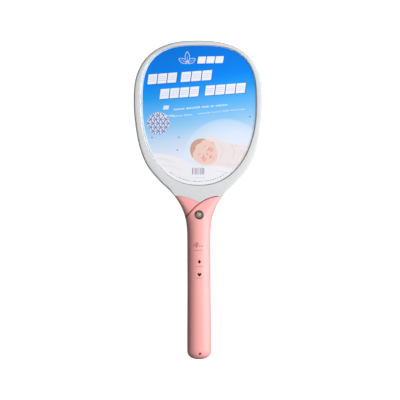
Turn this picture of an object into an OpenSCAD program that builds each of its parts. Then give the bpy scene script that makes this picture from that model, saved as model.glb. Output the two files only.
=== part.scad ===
// Electric fly swatter: a racket-shaped head that holds three wire nets behind a display card,
// and a round handle that holds a rechargeable cell, a high-voltage board, a torch and a fold-out plug.
// It lies on its back. +Z is the front face, +Y points to the head's tip, and Z = 0 is what it rests on.

/* [Overall] */
// Length from the handle's end to the head's tip
total_l = 490; // [484:1:496]
// Width of the head across its widest point
head_w = 199; // [196:1:202]
// Thickness of the handle
grip_t = 33; // [32:0.5:34]

/* [Head] */
// Thickness of the head frame
head_t = 17; // [16.8:0.1:17.6]
// Width of the head's opening
open_w = 178.6; // [176:0.2:180]
// Wall thickness of the head frame's mouldings
frame_wall = 1.6; // [1.4:0.1:1.8]
// Corner radius of the frame's outer edge
edge_r = 3; // [2:0.1:3.2]

/* [Nets] */
// Distance from the middle net to each outer net
net_gap = 4.5; // [4.3:0.1:4.6]
// Thickness of each net
net_t = 1.2; // [1:0.1:1.2]
// Width of one diamond of the outer nets
diamond_w = 16; // [15:1:24]
// Distance between the wires of the middle net
wire_pitch = 8; // [7:0.5:12]
// Thickness of the display card
card_t = 0.5; // [0.4:0.1:0.6]

/* [Handle] */
// Width of the grip
grip_w = 36; // [35.5:0.5:37]
// Wall thickness of the handle's shells
shell_wall = 2.2; // [2:0.1:2.4]
// How far the front lobe stands proud of the neck plate
lobe_step = 1.1; // [0.8:0.1:1.2]
// Diameter of the hole for a hanging loop
hang_d = 3; // [2:0.5:4]
// Distance of that hole from the handle's end
hang_y = 9.5; // [8:0.5:10]

/* [Torch] */
// Distance of the torch from the handle's end
torch_y = 222.3; // [221:0.1:223]
// Outer diameter of the torch's bezel
torch_d = 13.7; // [13:0.1:14]

/* [Controls] */
// Distance of the push button from the handle's end
button_y = 168; // [166:1:170]
// Travel of the push button
button_travel = 1; // [0.6:0.1:1]
// Middle of the slide switch's travel, from the handle's end
slider_y = 196; // [195:1:197]
// Travel of the slide switch from off to its last position
slider_travel = 6; // [4:1:6]

/* [Plug] */
// Distance of the plug's pivot from the handle's end
plug_y = 23; // [23:0.5:24]
// Length of a blade outside its carrier
blade_l = 17; // [15:0.5:17.5]
// Distance between the two blades
blade_gap = 12.7; // [12.7:0.1:13]

/* [Hidden] */
$fn = 48;
mid_z = grip_t / 2;
half_head = head_w / 2;
half_open = open_w / 2;

// Head outline: above its widest point a superellipse, below it a smooth curve through knots
widest_y = 399;
outline_n = 2.5;
side_knots = [
    [half_head - 3.8, 433], [half_head, widest_y], [half_head - 2, 365.4], [half_head - 8.4, 328.5],
    [half_head - 20.5, 298], [half_head - 40.5, 273.5], [half_head - 54.3, 260.8],
    [half_head - 62.3, 251.2], [half_head - 70, 241]
];
knot_steps = 4;
// Opening: one superellipse above its centre and a longer one below it
open_y = 395;
open_up = total_l - 7.2 - open_y;
open_down = 127.6;
open_up_n = 2.9;
open_down_n = 2.2;

// Heights above and below the middle plane
plate_h = head_t / 2;
net_z = net_gap - net_t / 2;
net_top = net_gap + net_t / 2;
card_z = net_top + 0.3;
card_clearance = 0.8;
part_gap = 0.15;
spacer_h = net_z - net_t / 2 - 0.1;
seam_r = 0.3;

// Handle, with distances along Y from its end
end_l = 13;
end_n = 2.2;
end_swell = 0.6;
grip_half_w = grip_w / 2;
flare_y = 185;
flare_l = 69.6;
flare_w = 22;
slope_y = 270;
slope_l = 58;
rear_slope_y = 282;
rear_slope_l = 36;
back_crown = 0.9;
neck_end = 256;
neck_half = 37;
cavity_y = end_l + 0.01;
section_steps = 18;
end_stations = [0, 0.5, 1.6, 3.4, 6, 9.3];
grip_stations = [13, 40, 80, 120, 160, 185];
neck_stations = [for (y = [192 : 8 : 256]) y];

// Front seam: the left part ends on one curve, and the raised lobe on another
seam_meet_x = 1;
left_seam_y = 251.5;
left_seam_drop = 9.7;
lobe_seam_y = 250.6;
lobe_seam_drop = 29.1;
rear_seam_y = 251;
rear_seam_drop = 7;

// Screws
screw_hole_r = 1.25;
screw_r = 1.2;
screw_head_r = 1.9;
screw_recess_r = 2;
screw_head_l = 1.4;
frame_recess = 2;
shell_recess = 3;
head_boss_r = 2.9;
shell_boss_r = 2.7;
head_screw_angles = [-145, -112, -78, 78, 112, 145];
grip_screw_at = [[0, 56.5], [-14.5, 221], [14.5, 221]];
neck_screw_at = [[-9, 238.5], [9, 238.5]];

// Neck tongue, the tail of each frame half that the handle's shells clamp
tongue_half_w = 14;
tongue_h = 7;
tongue_y = 232;
tongue_slot = 4;
lead_slot_w = 3.6;
lead_slot_h = 2.7;

// Circuit board, its parts and the controls that face the rear
board_y = 128;
board_l = 85;
board_half_w = 13;
board_t = 1.6;
board_top = -5.5;
board_bottom = board_top - board_t;
board_screw_at = [[9, 131.2], [-10, 209.5]];
diamond_y = 150.5;
heart_y = 130.9;
tact_h = 3.5;
tact_face = board_bottom - tact_h;
plunger_r = 1.7;
stem_z = tact_face - 0.8;
plunger_l = 2.4;
rear_inside = -mid_z + shell_wall;
cap_face = -mid_z + 0.2;
dish_depth = 0.6;
flange_t = 1;
cap_l = 13;
cap_w = 9;
window_w = 2.0;
flange_z = rear_inside + 0.05;
knob_l = 8.4;
knob_w = 4.6;
knob_rest = slider_y - slider_travel / 2;
lever_w = 2;
transformer_y = 197;

// Torch, with heights measured from the shell's face beside it
torch_face = front_h(torch_y);
bezel_r = torch_d / 2;
lens_r = bezel_r - 1.3;

// Cell
cell_r = 9.2;
cell_l = 65;
cell_y = 61;
cell_z = -3;

// Plug and its bay, a tray that opens at the rear
bay_half_w = 10.2;
bay_y = 17.5;
bay_l = 34.5;
bay_top = -6.3;
bay_wall = 1.5;
pivot_z = -11.2;
barrel_r = 4.3;
carrier_half_w = 9.6;
carrier_l = 8.5;
pin_r = 1.25;
pin_clearance = 0.05;
blade_t = 1.5;
blade_w = 6.35;
contact_y = bay_y + 0.2;
contact_t = 0.4;

front_pink = "#f2aeac";
neck_grey = "#d4d6d8";
window_maroon = "#4a0a0c";

// ---- Curves and helpers ----

function flat(lists) = [for (list = lists) for (item = list) item];

// A step from 0 to 1 with level ends
function smooth(t) = let(c = min(max(t, 0), 1)) c * c * (3 - 2 * c);

function signed_pow(v, e) = sign(v) * pow(abs(v), e);

// A point between b and c on the smooth curve through a, b, c and d
function spline_point(a, b, c, d, t) =
    b + 0.5 * t * ((c - a) + t * ((2 * a - 5 * b + 4 * c - d) + t * (3 * b - a - 3 * c + d)));

// Distance from the opening's centre to its edge in direction u
function open_reach(u) =
    let(
        b = u[1] > 0 ? open_up : open_down,
        n = u[1] > 0 ? open_up_n : open_down_n
    )
    pow(pow(abs(u[0]) / half_open, n) + pow(abs(u[1]) / b, n), -1 / n);

// The opening's outline, moved outwards by grow
function open_outline(grow, count = 120) = [
    for (i = [0 : count - 1])
        let(
            a = 360 * i / count,
            u = [sin(a), cos(a)],
            reach = open_reach(u)
        )
        [0, open_y] + u * (reach + grow)
];

// Upper and lower edge of the opening above the point x
function open_y_at(x, upper, grow = 0) =
    let(
        b = upper ? open_up + grow : -open_down - grow,
        n = upper ? open_up_n : open_down_n
    )
    open_y + b * pow(1 - pow(min(abs(x) / (half_open + grow), 1), n), 1 / n);

// Where the handle's front meets the neck plate
function left_seam(x) = left_seam_y - left_seam_drop * pow(max(0, x + neck_half) / 35, 2.2);
function lobe_seam(x) = lobe_seam_y - lobe_seam_drop * pow(max(0, 38 - x) / 55, 2.4);
function front_seam(x) = x < seam_meet_x ? left_seam(x) : lobe_seam(x);
function rear_seam(x) = rear_seam_y - rear_seam_drop * (1 - pow(min(abs(x) / neck_half, 1), 2));

// The handle's half width and its heights above and below the middle plane
function end_round(y) = y >= end_l ? 1 : max(0.1, pow(1 - pow((end_l - y) / end_l, end_n), 1 / end_n));
function half_w(y) =
    end_round(y) * (grip_half_w + end_swell * smooth((120 - y) / 100)
    + flare_w * pow(max(0, y - flare_y) / flare_l, 2.7));
function front_h(y) =
    end_round(y) * (plate_h + lobe_step + (mid_z - plate_h - lobe_step) * smooth((slope_y - y) / slope_l));
function rear_h(y) =
    end_round(y) * (plate_h + (mid_z - plate_h) * smooth((rear_slope_y - y) / rear_slope_l));
function section_n(y) = 2.3 + 2.5 * smooth((y - 212) / 40);

// Height of the head frame's front and rear faces
function plate_front(y) = front_h(y) - lobe_step;
function plate_rear(y) = rear_h(y);

// A solid through a list of rings with equal numbers of points
module skin(rings, loop = false) {
    n = len(rings[0]);
    m = len(rings);
    sides = [
        for (i = [0 : m - (loop ? 1 : 2)], j = [0 : n - 1])
            let(
                a = i * n + j,
                b = i * n + (j + 1) % n,
                c = ((i + 1) % m) * n + (j + 1) % n,
                d = ((i + 1) % m) * n + j
            )
            each [[a, c, b], [a, d, c]]
    ];
    ends = loop ? [] : [
        [for (j = [0 : n - 1]) j],
        [for (j = [n - 1 : -1 : 0]) (m - 1) * n + j]
    ];
    polyhedron(points = flat(rings), faces = concat(sides, ends), convexity = 8);
}

// Puts children that are drawn around the middle plane, from the handle's end, into the part's frame
module placed() {
    translate([0, -total_l / 2, mid_z]) children();
}

module plate(points, z, t) {
    translate([0, 0, z]) linear_extrude(t) polygon(points);
}

module box(low, high) {
    translate(low) cube(high - low);
}

module post(at, r, z, h) {
    translate([at[0], at[1], z]) cylinder(r = r, h = h);
}

// An oblong with round ends, long along Y
function oblong(l, w, steps = 10) = [
    for (end = [1, -1], i = [0 : steps])
        let(a = (end > 0 ? 0 : 180) + 180 * i / steps)
        [w / 2 * cos(a), end * (l - w) / 2 + w / 2 * sin(a)]
];

module oblong_block(y, l, w, z, h) {
    translate([0, y, z]) linear_extrude(h) polygon(oblong(l, w));
}

// A round lead along points that run on in Y
module lead(points, r = 0.7) {
    skin([for (p = points) [for (a = [0 : 45 : 315]) p + [r * cos(a), 0, -r * sin(a)]]]);
}

// ---- Head ----

function side_curve() = flat([
    for (i = [1 : len(side_knots) - 3])
        [for (s = [0 : knot_steps - 1])
            let(k = side_knots)
            spline_point(k[i - 1], k[i], k[i + 1], k[i + 2], s / knot_steps)]
]);

function crown_curve() = [
    for (a = [0 : 7.5 : 82.5])
        [
            half_head * pow(sin(a), 2 / outline_n),
            widest_y + (total_l - widest_y) * pow(cos(a), 2 / outline_n)
        ]
];

function mirrored(points) = [for (p = points) [-p[0], p[1]]];

function reversed(list) = [for (i = [len(list) - 1 : -1 : 0]) list[i]];

// Outline of the frame: the right side from the tip to the neck, the seam with the handle, then the left side.
// The third number of a point is the radius of the edge there, which is small along the seam.
function frame_outline(front) =
    let(
        right = concat(crown_curve(), side_curve()),
        left = mirrored([for (i = [len(right) - 1 : -1 : 1]) right[i]]),
        seam = [for (x = [34 : -4 : -34]) [x, (front ? front_seam(x) : rear_seam(x)) + part_gap, seam_r]]
    )
    concat([for (p = right) [p[0], p[1], edge_r]], seam, [for (p = left) [p[0], p[1], edge_r]]);

// One cross-section of a frame half. Each entry is the distance out from the opening's edge, a height, and
// whether the height is measured from the frame's face.
function frame_section(w, r, rim = 1) = [
    [w, 0, false],
    [w, -r, true],
    [w - 0.3 * r, -0.3 * r, true],
    [w - r, 0, true],
    [w / 2, 0, true],
    [rim, 0, true],
    [0.3 * rim, -0.3 * rim, true],
    [0, -rim, true],
    [0, net_top + 0.05, false],
    [frame_wall, net_top + 0.05, false],
    [frame_wall, -frame_wall, true],
    [w / 2, -frame_wall, true],
    [w - frame_wall, -frame_wall, true],
    [w - frame_wall, 0, false]
];

function frame_ring(p, front) =
    let(
        out = [p[0], p[1] - open_y],
        u = out / norm(out),
        reach = open_reach(u),
        section = frame_section(norm(out) - reach, p[2])
    )
    [
        for (s = front ? section : reversed(section))
            let(
                at = [0, open_y] + u * (reach + s[0]),
                face = front ? plate_front(at[1]) : plate_rear(at[1]),
                z = s[2] ? face + s[1] : s[1]
            )
            [at[0], at[1], front ? z : -z]
    ];

// A point near the middle of the frame's width, in a direction from the opening's centre
function ring_middle(angle, share = 0.47) =
    let(u = [sin(angle), cos(angle)])
    [0, open_y] + u * ((1 - share) * open_reach(u) + share * angle_reach(u));

// Distance from the opening's centre to the frame's outline in direction u
function angle_reach(u) =
    let(
        points = frame_outline(false),
        n = len(points),
        hits = [
            for (i = [0 : n - 1])
                let(
                    a = [points[i][0], points[i][1] - open_y],
                    b = [points[(i + 1) % n][0], points[(i + 1) % n][1] - open_y],
                    side_a = u[0] * a[1] - u[1] * a[0],
                    side_b = u[0] * b[1] - u[1] * b[0]
                )
                if (side_a * side_b <= 0 && a * u > 0)
                    norm(a + (b - a) * side_a / (side_a - side_b))
        ]
    )
    hits[0];

head_screw_at = [for (a = head_screw_angles) ring_middle(a)];

module frame_half(front) {
    side = front ? 1 : -1;
    difference() {
        union() {
            skin([for (p = frame_outline(front)) frame_ring(p, front)], loop = true);
            for (at = head_screw_at) {
                post(at, head_boss_r, front ? 0 : -plate_h + 1, plate_h - 1);
            }
            tongue(side);
        }
        for (at = head_screw_at) {
            post(at, screw_hole_r, front ? -1 : -mid_z, front ? plate_h - 1 : mid_z + 1);
            if (!front) {
                post(at, screw_recess_r, -mid_z - 1, mid_z + 1 - plate_h + frame_recess);
            }
        }
        for (at = neck_screw_at) {
            post(at, screw_hole_r, -mid_z, 2 * mid_z);
        }
        box([-lead_slot_w, tongue_y, -lead_slot_h], [lead_slot_w, open_y - open_down, lead_slot_h]);
    }
}

// The tail that the handle's shells clamp, in two rails beside the leads
module tongue(side) {
    for (x = [-1, 1]) {
        low_x = x > 0 ? tongue_slot : -tongue_half_w;
        high_x = x > 0 ? tongue_half_w : -tongue_slot;
        low_z = side > 0 ? 0 : -tongue_h;
        high_z = side > 0 ? tongue_h : 0;
        box([low_x, tongue_y, low_z], [high_x, neck_end, high_z]);
    }
}

module head_front_frame() {
    color(neck_grey) placed() frame_half(true);
}

module head_rear_frame() {
    color(neck_grey) placed() frame_half(false);
}

module outline_ring(inner, outer, z, t) {
    translate([0, 0, z]) linear_extrude(t) difference() {
        polygon(open_outline(outer));
        polygon(open_outline(inner));
    }
}

module front_spacer_ring() {
    color("whitesmoke") placed() outline_ring(-0.2, 1.4, net_t / 2 + 0.05, spacer_h);
}

module rear_spacer_ring() {
    color("whitesmoke") placed() outline_ring(-0.2, 1.4, -net_t / 2 - 0.05 - spacer_h, spacer_h);
}

// An outer net: strips that cross at the corners of diamonds, inside a flat rim
module diamond_net(z) {
    slant = 55;
    step = diamond_w * sin(slant);
    strips = ceil(150 / step);
    outline_ring(-0.8, 1.4, z, net_t);
    translate([0, 0, z]) linear_extrude(net_t) intersection() {
        polygon(open_outline(-0.5));
        for (turn = [-slant, slant], i = [-strips : strips]) {
            translate([0, open_y - 20]) rotate(turn) translate([0, i * step]) square([280, net_t], center = true);
        }
    }
}

module front_net() {
    color("silver") placed() diamond_net(net_z);
}

module rear_net() {
    color("silver") placed() diamond_net(-net_z - net_t);
}

module middle_net() {
    count = floor((half_open - 4) / wire_pitch);
    color("gainsboro") placed() {
        outline_ring(0, 1.4, -net_t / 2, net_t);
        for (i = [-count : count]) {
            x = i * wire_pitch;
            low = open_y_at(x, false, 0.5);
            high = open_y_at(x, true, 0.5);
            translate([x, low, 0]) rotate([-90, 0, 0]) cylinder(d = net_t - 0.2, h = high - low, $fn = 16);
        }
    }
}

module display_card() {
    color("deepskyblue") placed() plate(open_outline(-card_clearance), card_z, card_t);
}

// Self-tapping screws that are driven from the rear, one at each place in the list
module screws(places, head_z, tip_z) {
    shank_z = head_z + screw_head_l;
    for (at = places) {
        post(at, screw_head_r, head_z, screw_head_l);
        post(at, screw_r, shank_z, tip_z - shank_z);
    }
}

module head_screws() {
    color("dimgray") placed() screws(head_screw_at, frame_recess - screw_head_l - plate_h, plate_h - 2.2);
}

// ---- Handle shells ----

// Half of one cross-section, from the right edge over the top to the left edge
function arch(y, w, h, cap, n) = [
    for (i = [0 : section_steps])
        let(
            a = 180 * i / section_steps,
            rise = i == 0 || i == section_steps ? 0 : pow(sin(a), 2 / n)
        )
        [w * signed_pow(cos(a), 2 / n), y, min(cap, h * rise)]
];

// The ring is closed below by a line at the height foot
function arch_ring(y, inset, drop, foot, front) =
    let(
        n = section_n(y),
        h = front ? front_h(y) : rear_h(y) + back_crown * end_round(y),
        cap = front ? mid_z : rear_h(y),
        over = arch(y, half_w(y) - inset, h - drop, cap - drop, n),
        feet = foot == 0 ? [] : [[-half_w(y) + inset, y, foot], [half_w(y) - inset, y, foot]],
        ring = concat(over, feet)
    )
    front ? reversed(ring) : [for (p = ring) [p[0], p[1], -p[2]]];

module handle_solid(front, drop = 0, inset = 0, from = 0) {
    stations = [for (y = concat(end_stations, grip_stations, neck_stations)) if (y >= from) y];
    skin([for (y = stations) arch_ring(y, inset, drop, 0, front)]);
}

module handle_cavity(front) {
    after = [for (y = concat(grip_stations, neck_stations)) if (y > cavity_y) y];
    thin = front ? lobe_step : 0;
    skin([
        for (y = concat([cavity_y], after, [neck_end + 4]))
            arch_ring(y, shell_wall, shell_wall + thin * smooth((y - 205) / 30), -1, front)
    ]);
}

// Everything on the grip's side of a curve, as a tall block
module below(curve) {
    plate(concat(curve, [[-60, -5], [60, -5]]), -30, 60);
}

// Posts run from a shell's wall to the middle plane or to the tongue. They are what the cavity leaves.
module cavity_around_posts(front) {
    places = concat(grip_screw_at, neck_screw_at);
    difference() {
        handle_cavity(front);
        for (at = places) {
            foot = at[1] > tongue_y ? tongue_h + 0.05 : 0;
            post(at, shell_boss_r, front ? foot : -30, 30 - foot);
        }
    }
}

module handle_front_shell() {
    seam = [for (x = [44 : -2 : -44]) [x, front_seam(x)]];
    lobe = [for (x = [44 : -2 : -44]) [x, lobe_seam(x)]];
    color(front_pink) placed() difference() {
        union() {
            intersection() {
                handle_solid(true);
                below(lobe);
            }
            intersection() {
                handle_solid(true, drop = lobe_step, inset = 0.3, from = 200);
                below(seam);
            }
        }
        cavity_around_posts(true);
        for (at = concat(grip_screw_at, neck_screw_at)) {
            post(at, screw_hole_r, -1, front_h(at[1]) - 1.5);
        }
        post([0, hang_y], hang_d / 2, -1, 30);
        post([0, torch_y], torch_d / 2 + 0.05, 5, 20);
        plate(diamond_shape(window_w + 0.1), 8, 20);
        plate(heart_shape(window_w + 0.8), 8, 20);
    }
}

module handle_rear_shell() {
    seam = [for (x = [44 : -2 : -44]) [x, rear_seam(x)]];
    color(front_pink) placed() difference() {
        union() {
            difference() {
                intersection() {
                    handle_solid(false);
                    below(seam);
                }
                cavity_around_posts(false);
            }
            plug_tray();
            cell_cradle();
            for (at = board_screw_at) {
                post(at, 2.2, rear_inside + 0.8, board_bottom - rear_inside - 0.8);
            }
        }
        for (at = concat(grip_screw_at, neck_screw_at)) {
            post(at, screw_hole_r, -30, 31);
            post(at, screw_recess_r, -30, 30 - rear_h(at[1]) + shell_recess);
        }
        for (at = board_screw_at) {
            post(at, 0.9, board_bottom - 5, 6);
        }
        post([0, hang_y], hang_d / 2, -30, 31);
        plug_bay();
        control_openings();
    }
}

// A cylinder along X at the pivot's height, half_l to each side of the middle
module across(y, r, half_l) {
    translate([-half_l, y, pivot_z]) rotate([0, 90, 0]) cylinder(r = r, h = 2 * half_l);
}

module plug_tray() {
    side = bay_half_w + bay_wall;
    box([-side, bay_y - bay_wall, -13], [side, bay_y + bay_l + bay_wall, bay_top + bay_wall]);
}

module plug_bay() {
    box([-bay_half_w, bay_y, -30], [bay_half_w, bay_y + bay_l, bay_top]);
    across(plug_y, pin_r + 0.02, 13);
    for (x = [-blade_gap / 2, blade_gap / 2]) {
        box([x - 2.2, contact_y - 0.1, bay_top - 1],
            [x + 2.2, contact_y + contact_t + 0.1, bay_top + bay_wall + 1]);
    }
}

// Two ribs that the cell lies in
module cell_cradle() {
    difference() {
        for (y = [cell_y + 6, cell_y + cell_l - 8]) {
            box([-10.4, y, rear_inside - 0.4], [10.4, y + 2, cell_z - 4]);
        }
        translate([0, cell_y, cell_z]) rotate([-90, 0, 0]) cylinder(r = cell_r + 0.1, h = cell_l);
    }
}

// The button's dish and hole, and the slot of the slide switch
module control_openings() {
    oblong_block(button_y, 19, 14, -30, 30 - mid_z + dish_depth);
    oblong_block(button_y, cap_l + 0.5, cap_w + 0.5, -30, 30 + rear_inside + 1);
    oblong_block(slider_y, knob_l + slider_travel + 4, 9, -30, 30 - mid_z + dish_depth);
    oblong_block(slider_y, knob_l + slider_travel + 0.6, knob_w + 0.5, -30, 30 + rear_inside + 1);
}

module handle_screws() {
    color("dimgray") placed() {
        for (at = concat(grip_screw_at, neck_screw_at)) {
            screws([at], shell_recess - screw_head_l - rear_h(at[1]), front_h(at[1]) - 3);
        }
    }
}

// ---- Torch ----

module torch_bezel() {
    color("dimgray") placed() translate([0, torch_y, torch_face]) rotate_extrude() polygon([
        [bezel_r, -7], [bezel_r, 0.6], [bezel_r - 0.4, 1], [bezel_r - 1.4, 1], [bezel_r - 1.8, 0.5],
        [bezel_r - 1.8, 0.3], [bezel_r - 1.2, 0.3], [bezel_r - 1.2, -7]
    ]);
}

module torch_lens() {
    color("white", 0.4) placed() translate([0, torch_y, torch_face - 0.9]) cylinder(r = lens_r, h = 1.15);
}

module torch_reflector() {
    color("silver") placed() translate([0, torch_y, torch_face]) rotate_extrude() polygon([
        [lens_r, -0.95], [lens_r - 0.5, -0.95], [4, -3.6], [3.2, -5.4], [2.6, -6.5],
        [2.6, -7.1], [3.4, -7.1], [4.6, -5.2], [lens_r, -2.6]
    ]);
}

// A round LED with its flange and two legs. The place is the middle of its base.
module led(at, r, h, leg_l) {
    translate(at) {
        cylinder(r = r + 0.4, h = 0.9);
        translate([0, 0, 0.9]) cylinder(r = r, h = h - r - 0.9);
        translate([0, 0, h - r]) sphere(r = r);
        for (x = [-1.27, 1.27]) {
            translate([x, 0, -leg_l]) cylinder(r = 0.3, h = leg_l, $fn = 16);
        }
    }
}

module torch_led() {
    color("lightyellow") placed() led([0, torch_y, torch_face - 8.1], 2.5, 6.4, 3);
}

// ---- Indicators ----

// Window outlines in their places
function diamond_shape(w) = [
    [0, diamond_y + 1.3 * w], [w, diamond_y], [0, diamond_y - 1.3 * w], [-w, diamond_y]
];
function heart_shape(w) = [
    for (a = [0 : 15 : 345])
        [
            w * signed_pow(sin(a), 3),
            heart_y + w * (13 * cos(a) - 5 * cos(2 * a) - 2 * cos(3 * a) - cos(4 * a)) / 16
        ]
];

module diamond_window() {
    color(window_maroon) placed() plate(diamond_shape(window_w), mid_z - 2.4, 2.5);
}

module heart_window() {
    color(window_maroon) placed() plate(heart_shape(window_w + 0.7), mid_z - 2.4, 2.5);
}

module indicator_leds() {
    base = mid_z - 7.4;
    color("red") placed() {
        for (y = [heart_y, diamond_y]) {
            led([0, y, base], 1.5, 4.4, base - board_top);
        }
    }
}

// ---- Circuit board ----

module circuit_board() {
    color("seagreen") placed() difference() {
        box([-board_half_w, board_y, board_bottom], [board_half_w, board_y + board_l, board_top]);
        for (at = board_screw_at) {
            post(at, 1.1, board_bottom - 1, 4);
        }
    }
}

module board_screws() {
    color("silver") placed() {
        for (at = board_screw_at) {
            post(at, 1.8, board_top, 1.2);
            post(at, 0.85, board_bottom - 4, board_t + 4);
        }
    }
}

module transformer_core() {
    low = board_top + 1;
    color("#3a3a3c") placed() difference() {
        box([-8, transformer_y - 6.5, low], [8, transformer_y + 6.5, low + 11]);
        for (y = [transformer_y - 4.6, transformer_y + 2]) {
            box([-5.6, y, low - 1], [5.6, y + 2.6, low + 12]);
        }
    }
}

// The coil fills the core's two windows, and its bobbin stands on the board
module transformer_winding() {
    low = board_top;
    color("khaki") placed() {
        for (y = [transformer_y - 4.5, transformer_y + 2.1]) {
            box([-5.5, y, low], [5.5, y + 2.4, low + 13]);
        }
    }
}

module hv_capacitors() {
    color("sienna") placed() {
        for (i = [0 : 2]) {
            box([-8, 170.5 + 6 * i, board_top + 0.6], [5, 175 + 6 * i, board_top + 11]);
            for (x = [-6, 3]) {
                post([x, 172.75 + 6 * i], 0.3, board_top, 0.6);
            }
        }
    }
}

module mains_capacitor() {
    color("goldenrod") placed() box([-11.8, 134, board_top], [-4.2, 151, board_top + 12]);
}

module filter_capacitor() {
    color("midnightblue") placed() post([8, 138.5], 3.2, board_top, 9);
}

// A part with wire ends that lies along X: body radius and length, centred at a place on the board
module axial_part(x, y, r, l) {
    translate([x, y, board_top + r + 0.3]) rotate([0, 90, 0]) {
        translate([0, 0, -l / 2]) cylinder(r = r, h = l, $fn = 24);
        for (side = [-1, 1]) {
            translate([0, 0, side > 0 ? l / 2 : -l / 2 - 1.2]) cylinder(r = 0.3, h = 1.2, $fn = 16);
        }
    }
}

module hv_diodes() {
    color("#26262a") placed() {
        for (i = [0 : 3]) {
            axial_part(i < 2 ? -5 : 5, 160 + 4 * (i % 2), 1.35, 5.2);
        }
    }
}

module resistors() {
    color("burlywood") placed() {
        for (i = [0 : 2]) {
            axial_part(7.6, 150 + 3.2 * i, 1.1, 5);
        }
        axial_part(-7.5, 155, 1.1, 5);
    }
}

module switching_transistor() {
    color("#222226") placed() {
        box([5.6, 144, board_top + 2], [10.2, 147, board_top + 7]);
        for (x = [6.6, 7.9, 9.2]) {
            post([x, 145.5], 0.25, board_top, 2);
        }
    }
}

// ---- Controls ----

module tact_switch() {
    well_top = stem_z + plunger_l + button_travel + 0.3;
    color("#333338") placed() difference() {
        box([-3, button_y - 3, tact_face], [3, button_y + 3, board_bottom]);
        post([0, button_y], plunger_r + 0.05, tact_face - 1, well_top - tact_face + 1);
    }
}

module switch_plunger() {
    color("ivory") placed() post([0, button_y], plunger_r, stem_z, plunger_l);
}

// Cap, inner flange that keeps it in, and a stem that bears on the switch's plunger
module push_button() {
    color("whitesmoke") placed() {
        oblong_block(button_y, cap_l, cap_w, cap_face, flange_z - cap_face);
        oblong_block(button_y, cap_l + 3, cap_w + 2.6, flange_z, flange_t);
        post([0, button_y], plunger_r - 0.1, flange_z + flange_t, stem_z - flange_z - flange_t);
    }
}

module slide_switch() {
    slot_l = lever_w + slider_travel + 0.4;
    color("silver") placed() difference() {
        box([-3, slider_y - 7, tact_face], [3, slider_y + 7, board_bottom]);
        box([-lever_w / 2 - 0.15, slider_y - slot_l / 2, tact_face - 1],
            [lever_w / 2 + 0.15, slider_y + slot_l / 2, tact_face + 2.4]);
    }
}

module slide_lever() {
    color("#222226") placed() {
        box([-lever_w / 2, knob_rest - lever_w / 2, flange_z + flange_t],
            [lever_w / 2, knob_rest + lever_w / 2, tact_face + 2]);
    }
}

// Ribbed pad in the slot, with a plate inside that keeps it in
module slide_knob() {
    half_plate = knob_l / 2 + slider_travel - 0.5;
    color("whitesmoke") placed() difference() {
        union() {
            oblong_block(knob_rest, knob_l, knob_w, cap_face, flange_z - cap_face);
            box([-3.6, knob_rest - half_plate, flange_z], [3.6, knob_rest + half_plate, flange_z + flange_t]);
        }
        for (y = [knob_rest - 1.6 : 1.6 : knob_rest + 1.6]) {
            box([-3, y - 0.35, cap_face - 1], [3, y + 0.35, cap_face + 0.5]);
        }
    }
}

// ---- Cell ----

module battery_cell() {
    color("steelblue") placed() translate([0, cell_y, cell_z]) rotate([-90, 0, 0]) {
        cylinder(r = cell_r, h = cell_l);
    }
}

module battery_tabs() {
    color("silver") placed() {
        for (y = [cell_y - 0.3, cell_y + cell_l]) {
            box([-4, y, cell_z - 4], [4, y + 0.3, cell_z + 4]);
        }
    }
}

// ---- Plug ----

module plug_carrier() {
    color("#2b2b2e") placed() difference() {
        union() {
            box([-carrier_half_w, plug_y, pivot_z - 4], [carrier_half_w, plug_y + carrier_l, pivot_z + 4]);
            across(plug_y, barrel_r, carrier_half_w);
        }
        across(plug_y, pin_r + pin_clearance, 13);
        for (x = [-blade_gap / 2, blade_gap / 2]) {
            blade(x);
        }
    }
}

module blade(x) {
    box([x - blade_t / 2, plug_y + 3, pivot_z - blade_w / 2],
        [x + blade_t / 2, plug_y + carrier_l + blade_l, pivot_z + blade_w / 2]);
}

module plug_blades() {
    color("gold") placed() difference() {
        for (x = [-blade_gap / 2, blade_gap / 2]) {
            blade(x);
        }
        across(plug_y + carrier_l + blade_l - 4, 1.5, 13);
    }
}

module plug_pivot_pin() {
    color("silver") placed() across(plug_y, pin_r, bay_half_w + bay_wall - 0.1);
}

module plug_contacts() {
    color("gold") placed() {
        for (x = [-blade_gap / 2, blade_gap / 2]) {
            box([x - 2, contact_y, pivot_z - 1], [x + 2, contact_y + contact_t, bay_top + bay_wall + 2]);
        }
    }
}

// ---- Leads ----

module battery_leads() {
    color("crimson") placed() {
        lead([
            [-3.4, 59.5, 0.6], [-7.2, 59.9, 5.4], [-10.5, 64, 8], [-11, 80, 8.5],
            [-11, 112, 8.5], [-9, 127.5, 5], [-3, 131, -3.6], [-3, 133, -4.7]
        ]);
        lead([[2, 127.1, -3.4], [4, 128.5, -4.5], [4, 131, -4.7]]);
    }
}

module net_leads() {
    color("red") placed() {
        for (i = [-1 : 1]) {
            lead([
                [2.4 * i, 210, board_top + 0.8], [2.4 * i, 216, -2], [2.4 * i, 232, i * 0.6],
                [2.4 * i, 254, i * 1.6], [2.4 * i, open_y - open_down - 1.45, i * net_gap]
            ]);
        }
    }
}

module torch_leads() {
    color("black") placed() {
        for (side = [-1, 1]) {
            lead([
                [side * 5, 208, board_top + 0.8], [side * 5, 212, -2],
                [side * 3, 217, 2], [side * 1.6, 221.2, torch_face - 11.9]
            ]);
        }
    }
}

module plug_leads() {
    color("dimgray") placed() {
        for (side = [-1, 1]) {
            lead([
                [side * blade_gap / 2, contact_y + 1.2, bay_top + bay_wall + 1.2], [side * 8, 26, -1],
                [side * 11.5, 42, 4], [side * 12, 60, 6], [side * 12, 110, 6], [side * 12, 125, 2],
                [side * 11.8, 129.5, -3], [side * 11.8, 132, -4.7]
            ]);
        }
    }
}

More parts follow.
